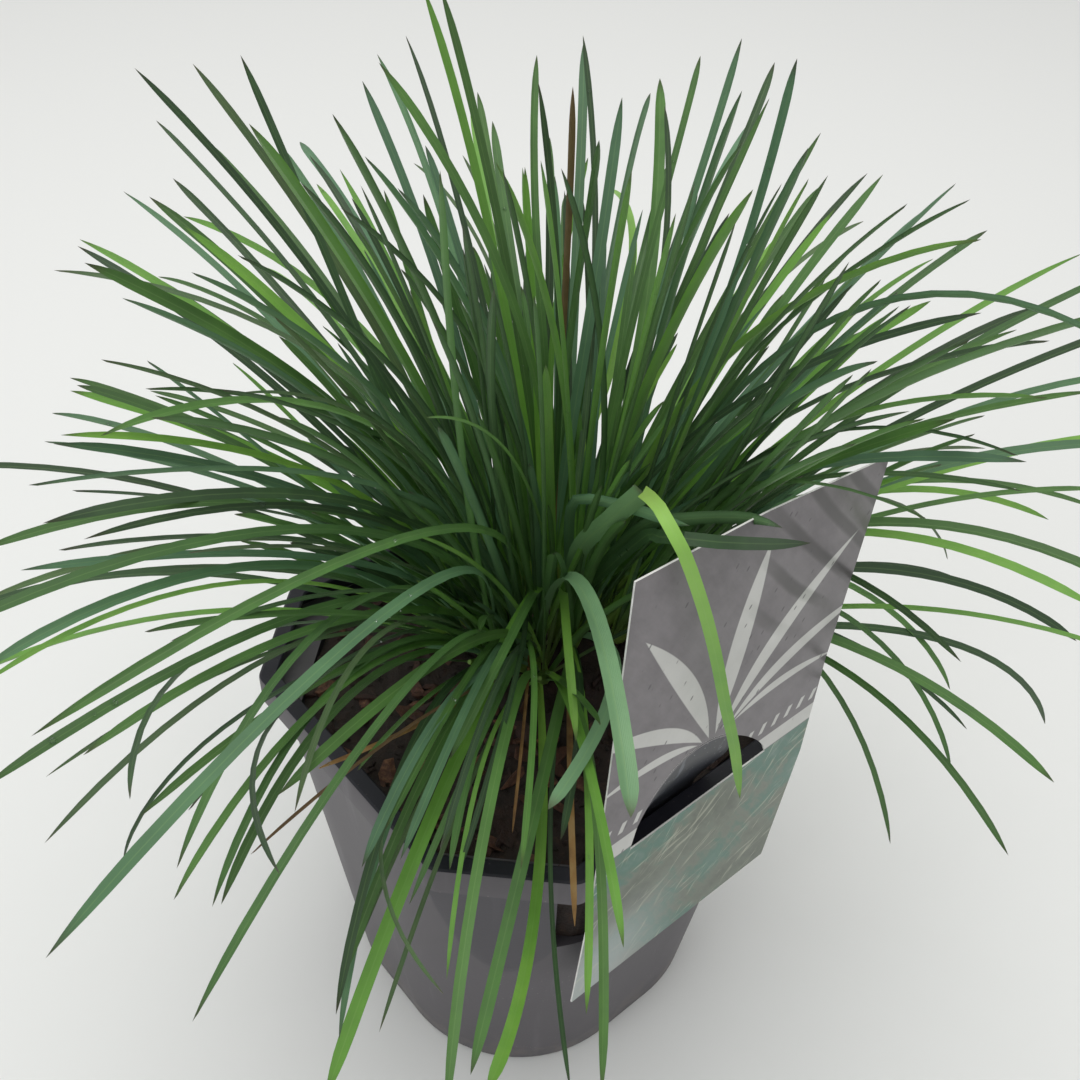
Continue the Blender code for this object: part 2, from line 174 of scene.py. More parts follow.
# The fit of a line to pixels. The first two give values by the height of the tip's pixel.
USUAL_REACHES = ((0, 350, 700, 1000), (0.215, 0.208, 0.196, 0.180))
USUAL_DROOPS = ((0, 500, 900), (14, 34, 56))
LENGTH_TO_REACH = 1.06
TIP_PIXELS = 1.5
PATH_PIXELS = 2.0
DROOP_SPREAD = math.radians(16)
SWING_SPREAD = math.radians(12)
LENGTH_SPREAD = 0.010
TEST_SHARES = np.linspace(0.0, 1.0, 70)    # where a line is tested for faults
SHEET_CLEARANCE = 0.0022

# The choice among trial lines
OUTER_REACH = 0.16   # leaves that reach farther sideways grow from the crown's edge
CROWDING = 0.005      # what each leaf on a shoot adds to its distance
FAULT_COST = 30
GOOD_FIT = 40
ALLOWED_FAULTS = 2

# Each tint: tone from dark to bright, share of blue, share of dry
TINTS = {
    "dark": (0.16, 0.30, 0.0),
    "green": (0.50, 0.15, 0.0),
    "light": (0.86, 0.00, 0.0),
    "blue": (0.52, 0.90, 0.0),
    "grey": (0.42, 0.65, 0.12),
    "pale": (0.84, 0.85, 0.04),
    "dry": (0.60, 0.00, 1.0),
    "brown": (0.20, 0.00, 0.80),
}


def camera_axes():
    """The camera's forward, right and up directions."""
    forward = Vector((
        math.sin(CAMERA_YAW) * math.cos(CAMERA_PITCH),
        math.cos(CAMERA_YAW) * math.cos(CAMERA_PITCH),
        -math.sin(CAMERA_PITCH),
    ))
    level = Vector((math.cos(CAMERA_YAW), -math.sin(CAMERA_YAW), 0.0))
    rise = level.cross(forward)
    right = level * math.cos(CAMERA_ROLL) + rise * math.sin(CAMERA_ROLL)
    up = rise * math.cos(CAMERA_ROLL) - level * math.sin(CAMERA_ROLL)
    return np.array(forward), np.array(right), np.array(up)


FORWARD, RIGHT, UP = camera_axes()


def project(points):
    """The pixels of an array of points."""
    away = points - CAMERA_PLACE
    depth = away @ FORWARD
    x = IMAGE_SIDE / 2 + FOCAL_PIXELS * (away @ RIGHT) / depth
    y = IMAGE_SIDE / 2 - FOCAL_PIXELS * (away @ UP) / depth
    return np.stack([x, y], axis=1)


def pixel_ray(pixel):
    """The unit direction from the camera through a pixel."""
    x = (pixel[0] - IMAGE_SIDE / 2) / FOCAL_PIXELS
    y = (pixel[1] - IMAGE_SIDE / 2) / FOCAL_PIXELS
    ray = FORWARD + RIGHT * x - UP * y
    return ray / np.linalg.norm(ray)


def towards_label(pixel, out):
    """The point that a pixel shows at a distance from the pot's axis towards the label."""
    ray = pixel_ray(pixel)
    return CAMERA_PLACE + ray * (out - CAMERA_PLACE @ TO_LABEL) / (ray @ TO_LABEL)


def placed(name, data):
    """A new object in the scene."""
    made = bpy.data.objects.new(name, data)
    bpy.context.scene.collection.objects.link(made)
    return made


def mesh_of(bm, name):
    mesh = bpy.data.meshes.new(name)
    bm.to_mesh(mesh)
    bm.free()
    return mesh


def make_camera():
    data = bpy.data.cameras.new("camera")
    data.sensor_width = SENSOR_WIDTH
    data.lens = SENSOR_WIDTH * FOCAL_PIXELS / IMAGE_SIDE
    data.clip_start = 0.01
    data.clip_end = 50.0
    camera = placed("camera", data)
    turn = Matrix((RIGHT, UP, -FORWARD)).transposed().to_4x4()
    camera.matrix_world = Matrix.Translation(Vector(CAMERA_PLACE)) @ turn
    bpy.context.scene.camera = camera


def area_light(name, place, aim, size, power, colour):
    data = bpy.data.lights.new(name, "AREA")
    data.shape = "DISK"
    data.size = size
    data.energy = power
    data.color = colour
    light = placed(name, data)
    light.location = place
    light.rotation_euler = (Vector(aim) - Vector(place)).to_track_quat("-Z", "Y").to_euler()


def make_studio():
    """A pale floor under soft light from above."""
    bm = bmesh.new()
    bmesh.ops.create_circle(bm, cap_ends=True, segments=96, radius=6.0)
    floor = placed("floor", mesh_of(bm, "floor"))
    finish = bpy.data.materials.new("floor")
    finish.use_nodes = True
    shader = finish.node_tree.nodes["Principled BSDF"]
    shader.inputs["Base Color"].default_value = (0.80, 0.81, 0.80, 1.0)
    shader.inputs["Roughness"].default_value = 0.7
    floor.data.materials.append(finish)
    area_light("overhead", (-0.1, 0.3, 2.0), (0, 0, 0.1), 1.6, 16.0, (1.0, 0.99, 0.97))
    area_light("window", (-1.2, -1.3, 1.4), (0, 0, 0.15), 1.2, 5.5, (0.95, 0.98, 1.0))
    world = bpy.data.worlds.new("studio")
    world.use_nodes = True
    sky = world.node_tree.nodes["Background"]
    sky.inputs["Color"].default_value = (1.0, 0.997, 0.985, 1.0)
    sky.inputs["Strength"].default_value = 0.69
    bpy.context.scene.world = world
    bpy.context.scene.view_settings.view_transform = "Standard"


# Materials

class Nodes:
    """A new Principled material and short ways to add nodes to it."""

    def __init__(self, name):
        self.material = bpy.data.materials.new(name)
        self.material.use_nodes = True
        self.tree = self.material.node_tree
        self.shader = self.tree.nodes["Principled BSDF"]

    def put(self, value, socket):
        """Links a socket, or sets a plain value."""
        if isinstance(value, bpy.types.NodeSocket):
            self.tree.links.new(value, socket)
        elif socket.type == "RGBA" and len(value) == 3:
            socket.default_value = (*value, 1.0)
        else:
            socket.default_value = value

    def math(self, operation, a, b=0.0):
        node = self.tree.nodes.new("ShaderNodeMath")
        node.operation = operation
        self.put(a, node.inputs[0])
        self.put(b, node.inputs[1])
        return node.outputs[0]

    def times(self, a, b):
        return self.math("MULTIPLY", a, b)

    def plus(self, a, b):
        return self.math("ADD", a, b)

    def minus(self, a, b):
        return self.math("SUBTRACT", a, b)

    def between(self, value, low, high, soft):
        """1 from low to high, with edges as wide as soft."""
        return self.times(self.step(value, low, low + soft), self.step(value, high, high - soft))

    def step(self, value, low, high, smooth=True):
        """0 below low, 1 above high. With low above high it falls."""
        node = self.tree.nodes.new("ShaderNodeMapRange")
        node.interpolation_type = "SMOOTHSTEP" if smooth else "LINEAR"
        self.put(value, node.inputs["Value"])
        node.inputs["From Min"].default_value = low
        node.inputs["From Max"].default_value = high
        return node.outputs["Result"]

    def mix(self, share, a, b, kind="MIX"):
        node = self.tree.nodes.new("ShaderNodeMix")
        node.data_type = "RGBA"
        node.blend_type = kind
        self.put(share, node.inputs["Factor"])
        self.put(a, node.inputs["A"])
        self.put(b, node.inputs["B"])
        return node.outputs["Result"]

    def ramp(self, value, stops):
        node = self.tree.nodes.new("ShaderNodeValToRGB")
        self.put(value, node.inputs["Fac"])
        ramp = node.color_ramp
        while len(ramp.elements) < len(stops):
            ramp.elements.new(0.5)
        for element, (place, colour) in zip(ramp.elements, stops):
            element.position = place
            element.color = (*colour, 1.0)
        return node.outputs["Color"]

    def noise(self, where, scale, detail=3.0, rough=0.55, stretch=None):
        if stretch:
            mapping = self.tree.nodes.new("ShaderNodeMapping")
            self.put(where, mapping.inputs["Vector"])
            mapping.inputs["Scale"].default_value = stretch
            where = mapping.outputs["Vector"]
        node = self.tree.nodes.new("ShaderNodeTexNoise")
        self.put(where, node.inputs["Vector"])
        node.inputs["Scale"].default_value = scale
        node.inputs["Detail"].default_value = detail
        node.inputs["Roughness"].default_value = rough
        return node.outputs["Fac"]

    def spots(self, where, scale):
        """The distance to the nearest of scattered points."""
        node = self.tree.nodes.new("ShaderNodeTexVoronoi")
        self.put(where, node.inputs["Vector"])
        node.inputs["Scale"].default_value = scale
        return node.outputs["Distance"]

    def place(self):
        """The place in the object, in metres."""
        node = self.tree.nodes.new("ShaderNodeTexCoord")
        return node.outputs["Object"]

    def parts(self, vector):
        node = self.tree.nodes.new("ShaderNodeSeparateXYZ")
        self.put(vector, node.inputs[0])
        return node.outputs[0], node.outputs[1], node.outputs[2]

    def growth(self):
        """The four values of the attribute growth."""
        node = self.tree.nodes.new("ShaderNodeAttribute")
        node.attribute_name = "growth"
        split = self.tree.nodes.new("ShaderNodeSeparateColor")
        self.put(node.outputs["Color"], split.inputs[0])
        return split.outputs[0], split.outputs[1], split.outputs[2], node.outputs["Alpha"]

    def grid(self, name):
        """A UV map's two coordinates."""
        node = self.tree.nodes.new("ShaderNodeUVMap")
        node.uv_map = name
        return self.parts(node.outputs["UV"])[:2]

    def turned(self, u, v, degrees, stretch=1.0, origin=(0.0, 0.0)):
        """Two coordinates turned about an origin. The second is divided by stretch."""
        cos, sin = math.cos(math.radians(degrees)), math.sin(math.radians(degrees))
        u = self.minus(u, origin[0])
        v = self.minus(v, origin[1])
        along = self.plus(self.times(u, cos), self.times(v, sin))
        across = self.minus(self.times(v, cos), self.times(u, sin))
        return along, self.math("DIVIDE", across, stretch)

    def join(self, x, y):
        node = self.tree.nodes.new("ShaderNodeCombineXYZ")
        self.put(x, node.inputs[0])
        self.put(y, node.inputs[1])
        return node.outputs[0]

    def bump(self, height, depth, strength=1.0, under=None):
        node = self.tree.nodes.new("ShaderNodeBump")
        self.put(height, node.inputs["Height"])
        node.inputs["Distance"].default_value = depth
        node.inputs["Strength"].default_value = strength
        if under:
            self.put(under, node.inputs["Normal"])
        return node.outputs["Normal"]

    def finish(self, colour, roughness, normal=None):
        self.put(colour, self.shader.inputs["Base Color"])
        self.put(roughness, self.shader.inputs["Roughness"])
        if normal:
            self.put(normal, self.shader.inputs["Normal"])
        return self.material


def leaf_material():
    """Ribbed grass leaves. The attribute growth holds tone, blue, dryness and the underside."""
    n = Nodes("leaf")
    tone, blue, dry, under = n.growth()
    across, along = n.grid("leaf")
    mottle = n.noise(n.place(), 55.0, 4.0, 0.6)
    shade = n.plus(tone, n.times(n.minus(mottle, 0.5), 0.35))
    shade = n.minus(shade, n.times(n.step(along, 0.2, 0.55), 0.17))
    green = n.ramp(shade, [
        (0.0, (0.020, 0.056, 0.010)),
        (0.35, (0.058, 0.155, 0.020)),
        (0.70, (0.140, 0.345, 0.042)),
        (1.0, (0.280, 0.540, 0.080)),
    ])
    blue_green = n.ramp(shade, [
        (0.0, (0.026, 0.066, 0.034)),
        (0.5, (0.100, 0.225, 0.115)),
        (1.0, (0.230, 0.440, 0.240)),
    ])
    colour = n.mix(blue, green, blue_green)
    colour = n.mix(n.times(under, 0.30), colour, (0.19, 0.36, 0.15))
    base = n.step(along, 0.16, 0.0)
    colour = n.mix(n.times(base, 0.45), colour, (0.26, 0.34, 0.07))
    middle = n.math("ABSOLUTE", n.minus(across, 0.5))
    vein = n.step(middle, 0.07, 0.0)
    colour = n.mix(n.times(vein, 0.16), colour, (0.30, 0.48, 0.16))
    waver = n.times(n.noise(n.place(), 70.0, 2.0), 6.0)
    ribs = n.math("SINE", n.plus(n.times(across, 2 * math.pi * 14), waver))
    colour = n.mix(n.times(n.step(ribs, 0.2, -0.9), 0.07), colour, (0.020, 0.055, 0.014))
    tip = n.step(n.plus(along, n.times(mottle, 0.04)), 0.985, 1.03)
    colour = n.mix(n.times(tip, 0.8), colour, (0.055, 0.036, 0.024))
    straw = n.ramp(n.noise(n.place(), 120.0, 3.0), [
        (0.25, (0.16, 0.075, 0.022)),
        (0.55, (0.42, 0.24, 0.07)),
        (0.80, (0.55, 0.38, 0.16)),
    ])
    straw = n.mix(tone, (0.10, 0.045, 0.022), straw)
    colour = n.mix(dry, colour, straw)
    rough = n.plus(n.times(mottle, 0.22), 0.34)
    rough = n.plus(rough, n.times(dry, 0.25))
    normal = n.bump(ribs, 0.00004, 0.6)
    normal = n.bump(mottle, 0.00025, 0.4, normal)
    return n.finish(colour, rough, normal)


def shaded_pot_inside_material():
    """The rim's top and the inside: the plastic painted much darker as painted shade under the
    leaves, with pale dust.
    """
    n = Nodes("pot_inside_painted_shade")
    cloud = n.noise(n.place(), 45.0, 4.0, 0.6)
    colour = n.ramp(cloud, [(0.3, (0.009, 0.009, 0.014)), (0.7, (0.018, 0.018, 0.026))])
    dust = n.step(n.spots(n.place(), 380.0), 0.14, 0.06)
    colour = n.mix(n.times(dust, 0.35), colour, (0.10, 0.085, 0.08))
    normal = n.bump(n.noise(n.place(), 900.0, 2.0), 0.00006, 0.7)
    n.shader.inputs["Specular IOR Level"].default_value = 0.3
    return n.finish(colour, n.plus(n.times(cloud, 0.25), 0.28), normal)


def shaded_tongue_material():
    """The label's tongue: its print painted bluish black as painted shade inside the pot, with
    pale scratches and specks.
    """
    n = Nodes("tongue_print_painted_shade")
    where = n.place()
    cloud = n.noise(where, 60.0, 4.0, 0.6)
    colour = n.ramp(cloud, [(0.3, (0.012, 0.014, 0.020)), (0.7, (0.034, 0.038, 0.050))])
    scratch = n.step(n.noise(where, 240.0, 3.0, 0.5, (1.0, 1.0, 0.12)), 0.62, 0.70)
    colour = n.mix(n.times(scratch, 0.5), colour, (0.20, 0.22, 0.25))
    speck = n.step(n.spots(where, 420.0), 0.15, 0.08)
    colour = n.mix(n.times(speck, 0.6), colour, (0.42, 0.42, 0.42))
    return n.finish(colour, n.plus(n.times(cloud, 0.2), 0.30))


def pot_material():
    """Grey moulded plastic with fine grain, pale dust, a few rubbed streaks and painted shade on
    the flat facets.
    """
    n = Nodes("pot_plastic")
    where = n.place()
    x, y, z = n.parts(where)
    cloud = n.noise(where, 22.0, 5.0, 0.6)
    colour = n.ramp(cloud, [
        (0.25, (0.066, 0.060, 0.068)),
        (0.75, (0.097, 0.089, 0.100)),
    ])
    streak = n.noise(where, 60.0, 4.0, 0.6, (1.0, 1.0, 0.08))
    colour = n.mix(n.times(n.step(streak, 0.56, 0.74), 0.30), colour, (0.21, 0.20, 0.215))
    dust = n.times(n.step(n.spots(where, 420.0), 0.16, 0.07), n.step(cloud, 0.50, 0.62))
    colour = n.mix(n.times(dust, 0.6), colour, (0.33, 0.31, 0.30))
    # Painted shade: the flat facets below the band are painted darker and bluer, standing in for
    # their shade and dark reflection.
    corner = n.math("MAXIMUM", n.math("ABSOLUTE", x), n.math("ABSOLUTE", y))
    painted_facet_shade = n.step(corner, FACET_WIDTH / 2 - 0.0005, FACET_WIDTH / 2 - 0.0002)
    painted_facet_shade = n.times(painted_facet_shade, n.step(z, POT_HEIGHT - BAND_HEIGHT, POT_HEIGHT - BAND_HEIGHT - 0.0006))
    colour = n.mix(n.times(painted_facet_shade, 0.40), colour, (0.040, 0.041, 0.052))
    low = n.times(n.step(z, 0.030, 0.0), n.step(n.noise(where, 90.0, 4.0), 0.45, 0.65))
    colour = n.mix(n.times(low, 0.45), colour, (0.16, 0.135, 0.12))
    rough = n.plus(n.times(cloud, 0.22), 0.38)
    rough = n.plus(rough, n.times(dust, 0.3))
    normal = n.bump(n.noise(where, 900.0, 2.0), 0.00006, 0.7)
    normal = n.bump(streak, 0.0002, 0.35, normal)
    return n.finish(colour, rough, normal)


def soil_material():
    n = Nodes("soil")
    where = n.place()
    grain = n.noise(where, 260.0, 6.0, 0.7)
    patch = n.noise(where, 60.0, 3.0)
    colour = n.ramp(grain, [
        (0.25, (0.008, 0.005, 0.004)),
        (0.55, (0.026, 0.015, 0.011)),
        (0.80, (0.070, 0.038, 0.024)),
    ])
    colour = n.mix(n.times(n.step(patch, 0.55, 0.7), 0.5), colour, (0.048, 0.020, 0.013))
    rough = n.step(grain, 0.0, 1.4, smooth=False)
    normal = n.bump(grain, 0.0016, 1.0)
    return n.finish(colour, n.plus(n.times(rough, 0.5), 0.55), normal)


def bark_material():
    """Broken bark: reddish brown with pale worn grain, darker when wet."""
    n = Nodes("bark")
    grain = n.noise(n.place(), 520.0, 5.0, 0.65, (1.0, 1.0, 2.5))
    tone = n.plus(n.times(grain, 0.7), n.times(n.growth()[0], 0.5))
    colour = n.ramp(tone, [
        (0.20, (0.010, 0.005, 0.004)),
        (0.55, (0.036, 0.014, 0.009)),
        (0.80, (0.088, 0.034, 0.018)),
        (1.00, (0.260, 0.125, 0.062)),
    ])
    normal = n.bump(grain, 0.0009, 1.0)
    return n.finish(colour, n.plus(n.times(grain, 0.4), 0.42), normal)


def water_material():
    n = Nodes("water")
    n.shader.inputs["Base Color"].default_value = (0.95, 0.98, 1.0, 1.0)
    n.shader.inputs["Roughness"].default_value = 0.02
    n.shader.inputs["IOR"].default_value = 1.333
    n.shader.inputs["Transmission Weight"].default_value = 1.0
    return n.material


def label_edge_material():
    n = Nodes("label_edge")
    haze = n.noise(n.place(), 300.0, 3.0)
    colour = n.ramp(haze, [(0.3, (0.62, 0.62, 0.60)), (0.7, (0.80, 0.80, 0.78))])
    return n.finish(colour, n.plus(n.times(haze, 0.2), 0.35))


def label_material():
    """A generic print: mottled grey with leaf shadows and dark drops, pale arching blades over a
    row of ticks and a band, and a green strip of strands. The UV map print is in decimetres."""
    n = Nodes("label_print")
    u, v = n.grid("print")
    where = n.place()
    cloud = n.noise(where, 34.0, 6.0, 0.62)
    fine = n.noise(n.join(*n.turned(u, v, 35, 3.0)), 30.0, 4.0, 0.6)
    shade = n.plus(cloud, n.times(n.minus(fine, 0.5), 0.5))
    colour = n.ramp(shade, [(0.25, (0.112, 0.100, 0.110)), (0.75, (0.214, 0.198, 0.210))])

    # Soft shadows of leaves over the upper right
    along, across = n.turned(u, v, -52)
    sway = n.times(n.noise(n.join(along, across), 1.2, 1.0), 0.20)
    wave = n.math("SINE", n.times(n.plus(across, sway), 2 * math.pi * 9))
    shadow = n.times(n.step(wave, 0.20, 0.90), n.step(u, -0.02, 0.22))
    shadow = n.times(shadow, n.step(v, 2.20, 2.42))
    colour = n.mix(n.times(shadow, 0.72), colour, (0.048, 0.044, 0.045))

    # A fan of blades with ticks and a band below it
    motif = n.between(v, PRINT_BAND[0], PRINT_BAND[1], PRINT_EDGE)
    tick_along, _ = n.turned(u, v, -20)
    tick = n.math("ABSOLUTE", n.minus(n.math("FRACT", n.times(tick_along, 17)), 0.5))
    row = n.between(v, PRINT_TICKS[0], PRINT_TICKS[1], PRINT_EDGE)
    motif = n.math("MAXIMUM", motif, n.times(row, n.step(tick, 0.18, 0.14)))
    for foot, degrees, long, half, bend in PRINTED_BLADES:
        along, across = n.turned(u, v, degrees, 1.0, foot)
        share = n.math("DIVIDE", along, long)
        offset = n.minus(across, n.times(n.math("POWER", share, 2.0), bend))
        swell = n.times(share, n.minus(1.0, share))
        inside = n.minus(n.times(swell, 4 * half), n.math("ABSOLUTE", offset))
        motif = n.math("MAXIMUM", motif, n.step(inside, -0.002, 0.002))
    white = n.ramp(cloud, [(0.3, (0.50, 0.50, 0.48)), (0.7, (0.62, 0.62, 0.60))])
    white = n.mix(n.times(shadow, 0.45), white, (0.20, 0.22, 0.19))
    colour = n.mix(motif, colour, white)

    # Slanting dark drops
    drops = n.spots(n.join(*n.turned(u, v, 62, 0.42)), 13.0)
    fleck = n.times(n.step(drops, 0.15, 0.09), n.step(cloud, 0.44, 0.52))
    colour = n.mix(n.times(fleck, 0.70), colour, (0.045, 0.040, 0.048))

    # The strip below the band, with fine pale strands
    patch = n.noise(where, 26.0, 3.0, 0.5)
    strip = n.ramp(n.plus(n.times(patch, 0.7), n.times(fine, 0.3)), [
        (0.34, (0.070, 0.085, 0.062)),
        (0.47, (0.140, 0.165, 0.125)),
        (0.56, (0.068, 0.172, 0.130)),
        (0.70, (0.170, 0.240, 0.210)),
    ])
    pale = n.times(n.step(v, 1.45, 0.95), n.step(u, 0.10, -0.40))
    strip = n.mix(n.times(pale, 0.75), strip, (0.46, 0.50, 0.50))
    for degrees, scale in ((38, 26.0), (64, 34.0), (12, 30.0)):
        thread = n.noise(n.join(*n.turned(u, v, degrees, 0.10)), scale / 10, 3.0, 0.6)
        strip = n.mix(n.times(n.step(thread, 0.60, 0.68), 0.40), strip, (0.55, 0.56, 0.44))
    colour = n.mix(n.step(v, PRINT_BAND[0], PRINT_BAND[0] - PRINT_EDGE), colour, strip)
    rough = n.plus(n.times(fine, 0.16), 0.28)
    return n.finish(colour, rough, n.bump(cloud, 0.0001, 0.4))


# Meshes

class Build:
    """Gathers vertices, faces, a UV map and the growth attribute of one piece."""

    def __init__(self):
        self.points = []
        self.faces = []
        self.grid = []
        self.growth = []

    def piece(self, name, material, smooth_angle=50.0):
        mesh = bpy.data.meshes.new(name)
        mesh.from_pydata([tuple(p) for p in self.points], [], self.faces)
        layer = mesh.uv_layers.new(name="leaf")
        corners = np.zeros(len(mesh.loops), np.int32)
        mesh.loops.foreach_get("vertex_index", corners)
        layer.data.foreach_set("uv", np.array(self.grid, np.float32)[corners].ravel())
        growth = mesh.attributes.new("growth", "FLOAT_COLOR", "POINT")
        growth.data.foreach_set("color", np.array(self.growth, np.float32).ravel())
        bm = bmesh.new()
        bm.from_mesh(mesh)
        bmesh.ops.recalc_face_normals(bm, faces=bm.faces)
        bm.to_mesh(mesh)
        bm.free()
        mesh.materials.append(material)
        mesh.shade_smooth()
        mesh.set_sharp_from_angle(angle=math.radians(smooth_angle))
        return placed(name, mesh)


def unit(rows):
    return rows / np.linalg.norm(rows, axis=-1, keepdims=True)


def along_line(line, shares):
    """Points at shares of the length of a line of points."""
    line = np.asarray(line, float)
    gaps = np.linalg.norm(np.diff(line, axis=0), axis=1)
    places = np.concatenate([[0.0], np.cumsum(gaps)])
    return np.stack([np.interp(shares * places[-1], places, line[:, k]) for k in range(3)], axis=1)


def spline(points, steps=12):
    """A smooth line through points."""
    points = np.asarray(points, float)
    ends = np.vstack([2 * points[0] - points[1], points, 2 * points[-1] - points[-2]])
    line = []
    for i in range(1, len(ends) - 2):
        a, b, c, d = ends[i - 1:i + 3]
        for t in np.linspace(0.0, 1.0, steps, endpoint=False):
            line.append(0.5 * (2 * b + (c - a) * t + (2 * a - 5 * b + 4 * c - d) * t ** 2
                               + (3 * b - 3 * c + d - a) * t ** 3))
    line.append(points[-1])
    return np.array(line)


def width_profile(share, blunt, base):
    """A leaf's width along its length: narrow at the sheath, full, then closing on its tip. The
    share blunt is where it starts to close. A blunt of 1 leaves it open."""
    grow = base + (1.0 - base) * np.clip(share / 0.35, 0.0, 1.0)
    slight = 1.0 - 0.08 * np.clip((share - 0.5) / 0.5, 0.0, 1.0)
    if blunt >= 1.0:
        return grow * slight
    closing = np.clip((share - blunt) / (1.0 - blunt), 0.0, 1.0)
    return grow * slight * np.maximum(1.0 - closing ** 2.6, 0.06)


def add_leaf(build, line, width, fold, roll, twist, tint, blunt, base, facing, pixels):
    """A closed thin ribbon along a line, channelled above and keeled below. Its flat side turns by
    the share facing towards the camera. Where pixels is given, it looks that many pixels wide."""
    points = along_line(line, SHARES)
    headings = unit(np.gradient(points, axis=0))
    chord = points[-1] - points[0]
    side = np.array((-chord[1], chord[0], 0.0)) + 1e-6
    side = np.tile(side / np.linalg.norm(side), (len(points), 1))
    side = unit(side - headings * (side * headings).sum(axis=1, keepdims=True))
    view = points - CAMERA_PLACE
    broad = unit(np.cross(headings, view))
    if (side * broad).sum() < 0:
        broad = -broad
    side = unit(side * (1.0 - facing) + broad * facing)
    rise = np.cross(headings, side)
    turn = (roll + twist * SHARES)[:, None]
    cos, sin = np.cos(turn), np.sin(turn)
    side, rise = side * cos + rise * sin, rise * cos - side * sin
    if pixels:
        shown = abs((side * broad).sum(axis=1))[SEEN_RING]
        depth = (view @ FORWARD)[SEEN_RING]
        width = pixels * depth / FOCAL_PIXELS / max(shown, LEAST_SHOWN)
    widths = width * width_profile(SHARES, blunt, base)
    # The channel is deeper next to the sheath
    folds = fold * (1.0 + 1.2 * np.clip(1.0 - SHARES / 0.18, 0.0, 1.0))
    first = len(build.points)
    for i in range(len(points) - 1):
        for across, under in SECTION:
            lift = folds[i] * widths[i] * abs(across)
            if under:
                lift -= LEAF_THICKNESS * (1.25 - 1.5 * abs(across))
            build.points.append(points[i] + side[i] * across * widths[i] + rise[i] * lift)
            build.grid.append((across + 0.5, SHARES[i]))
            build.growth.append((*tint, float(under)))
    build.points.append(points[-1])
    build.grid.append((0.5, 1.0))
    build.growth.append((*tint, 0.0))
    ring = len(SECTION)
    tip = len(build.points) - 1
    for i in range(len(points) - 2):
        a = first + i * ring
        for j in range(ring):
            k = (j + 1) % ring
            build.faces.append((a + j, a + k, a + ring + k, a + ring + j))
    last = first + (len(points) - 2) * ring
    for j in range(ring):
        build.faces.append((last + j, last + (j + 1) % ring, tip))
    build.faces.append(tuple(first + j for j in range(ring)))


def add_sheath(build, foot, heading, length, tint):
    """The round base of a shoot, from which its leaves part."""
    sides = SHEATH_SIDES
    rings = SHEATH_RINGS
    heading = Vector(heading).normalized()
    across = heading.orthogonal().normalized()
    other = heading.cross(across)
    first = len(build.points)
    for share, radius in rings:
        for j in range(sides):
            turn = 2 * math.pi * j / sides
            edge = across * math.cos(turn) + other * math.sin(turn)
            build.points.append(np.array(Vector(foot) + heading * length * share + edge * radius))
            build.grid.append((j / sides, share * 0.2))
            build.growth.append((*tint, 0.0))
    for i in range(len(rings) - 1):
        a = first + i * sides
        for j in range(sides):
            k = (j + 1) % sides
            build.faces.append((a + j, a + k, a + sides + k, a + sides + j))
    build.faces.append(tuple(first + j for j in range(sides)))
    last = first + (len(rings) - 1) * sides
    build.faces.append(tuple(last + j for j in range(sides)))


# Leaves fitted to pixels

def leaf_line(foot, azimuth, lean, droop, swing, length, steps=48):
    """The middle line of a leaf that leaves its foot at a lean from upright, bows over by droop
    and turns sideways by swing."""
    share = (np.arange(steps) + 0.5) / steps
    tilt = lean + droop * share ** BEND_POWER
    turn = azimuth + swing * share
    heading = np.stack([
        np.sin(tilt) * np.cos(turn), np.sin(tilt) * np.sin(turn), np.cos(tilt)
    ], axis=1)
    return foot + np.vstack([np.zeros(3), np.cumsum(heading * length / steps, axis=0)])


def distances_to_path(path, pixels):
    """The signed distances from pixels to a path of pixels."""
    start = path[:-1]
    step = path[1:] - start
    offset = pixels[:, None, :] - start
    share = np.clip((offset * step).sum(2) / ((step ** 2).sum(1) + 1e-9), 0.0, 1.0)
    gap = offset - step * share[:, :, None]
    far = np.hypot(gap[:, :, 0], gap[:, :, 1])
    k = far.argmin(axis=1)
    rows = np.arange(len(pixels))
    turn = step[k, 0] * gap[rows, k, 1] - step[k, 1] * gap[rows, k, 0]
    return np.where(turn < 0, -1.0, 1.0) * far[rows, k]


def solve(residuals, start, tries=14):
    """Least squares by damped steps."""
    value = np.array(start, float)
    damping = 1e-2
    now = residuals(value)
    for _ in range(tries):
        slopes = []
        for k in range(len(value)):
            moved = value.copy()
            moved[k] += 1e-5
            slopes.append((residuals(moved) - now) / 1e-5)
        slopes = np.array(slopes).T
        square = slopes.T @ slopes
        step = np.linalg.solve(square + damping * np.diag(np.diag(square) + 1e-9), -slopes.T @ now)
        trial = residuals(value + step)
        better = now @ now - trial @ trial
        if better > 0:
            value = value + step
            now = trial
            damping = max(damping / 4, 1e-6)
            if better < 0.05:
                break
        else:
            damping *= 6
    return value, float(now @ now)


def usual_reach(pixel):
    """How far from its foot a leaf's tip stands: less at the front, where leaves droop."""
    return float(np.interp(pixel[1], *USUAL_REACHES))


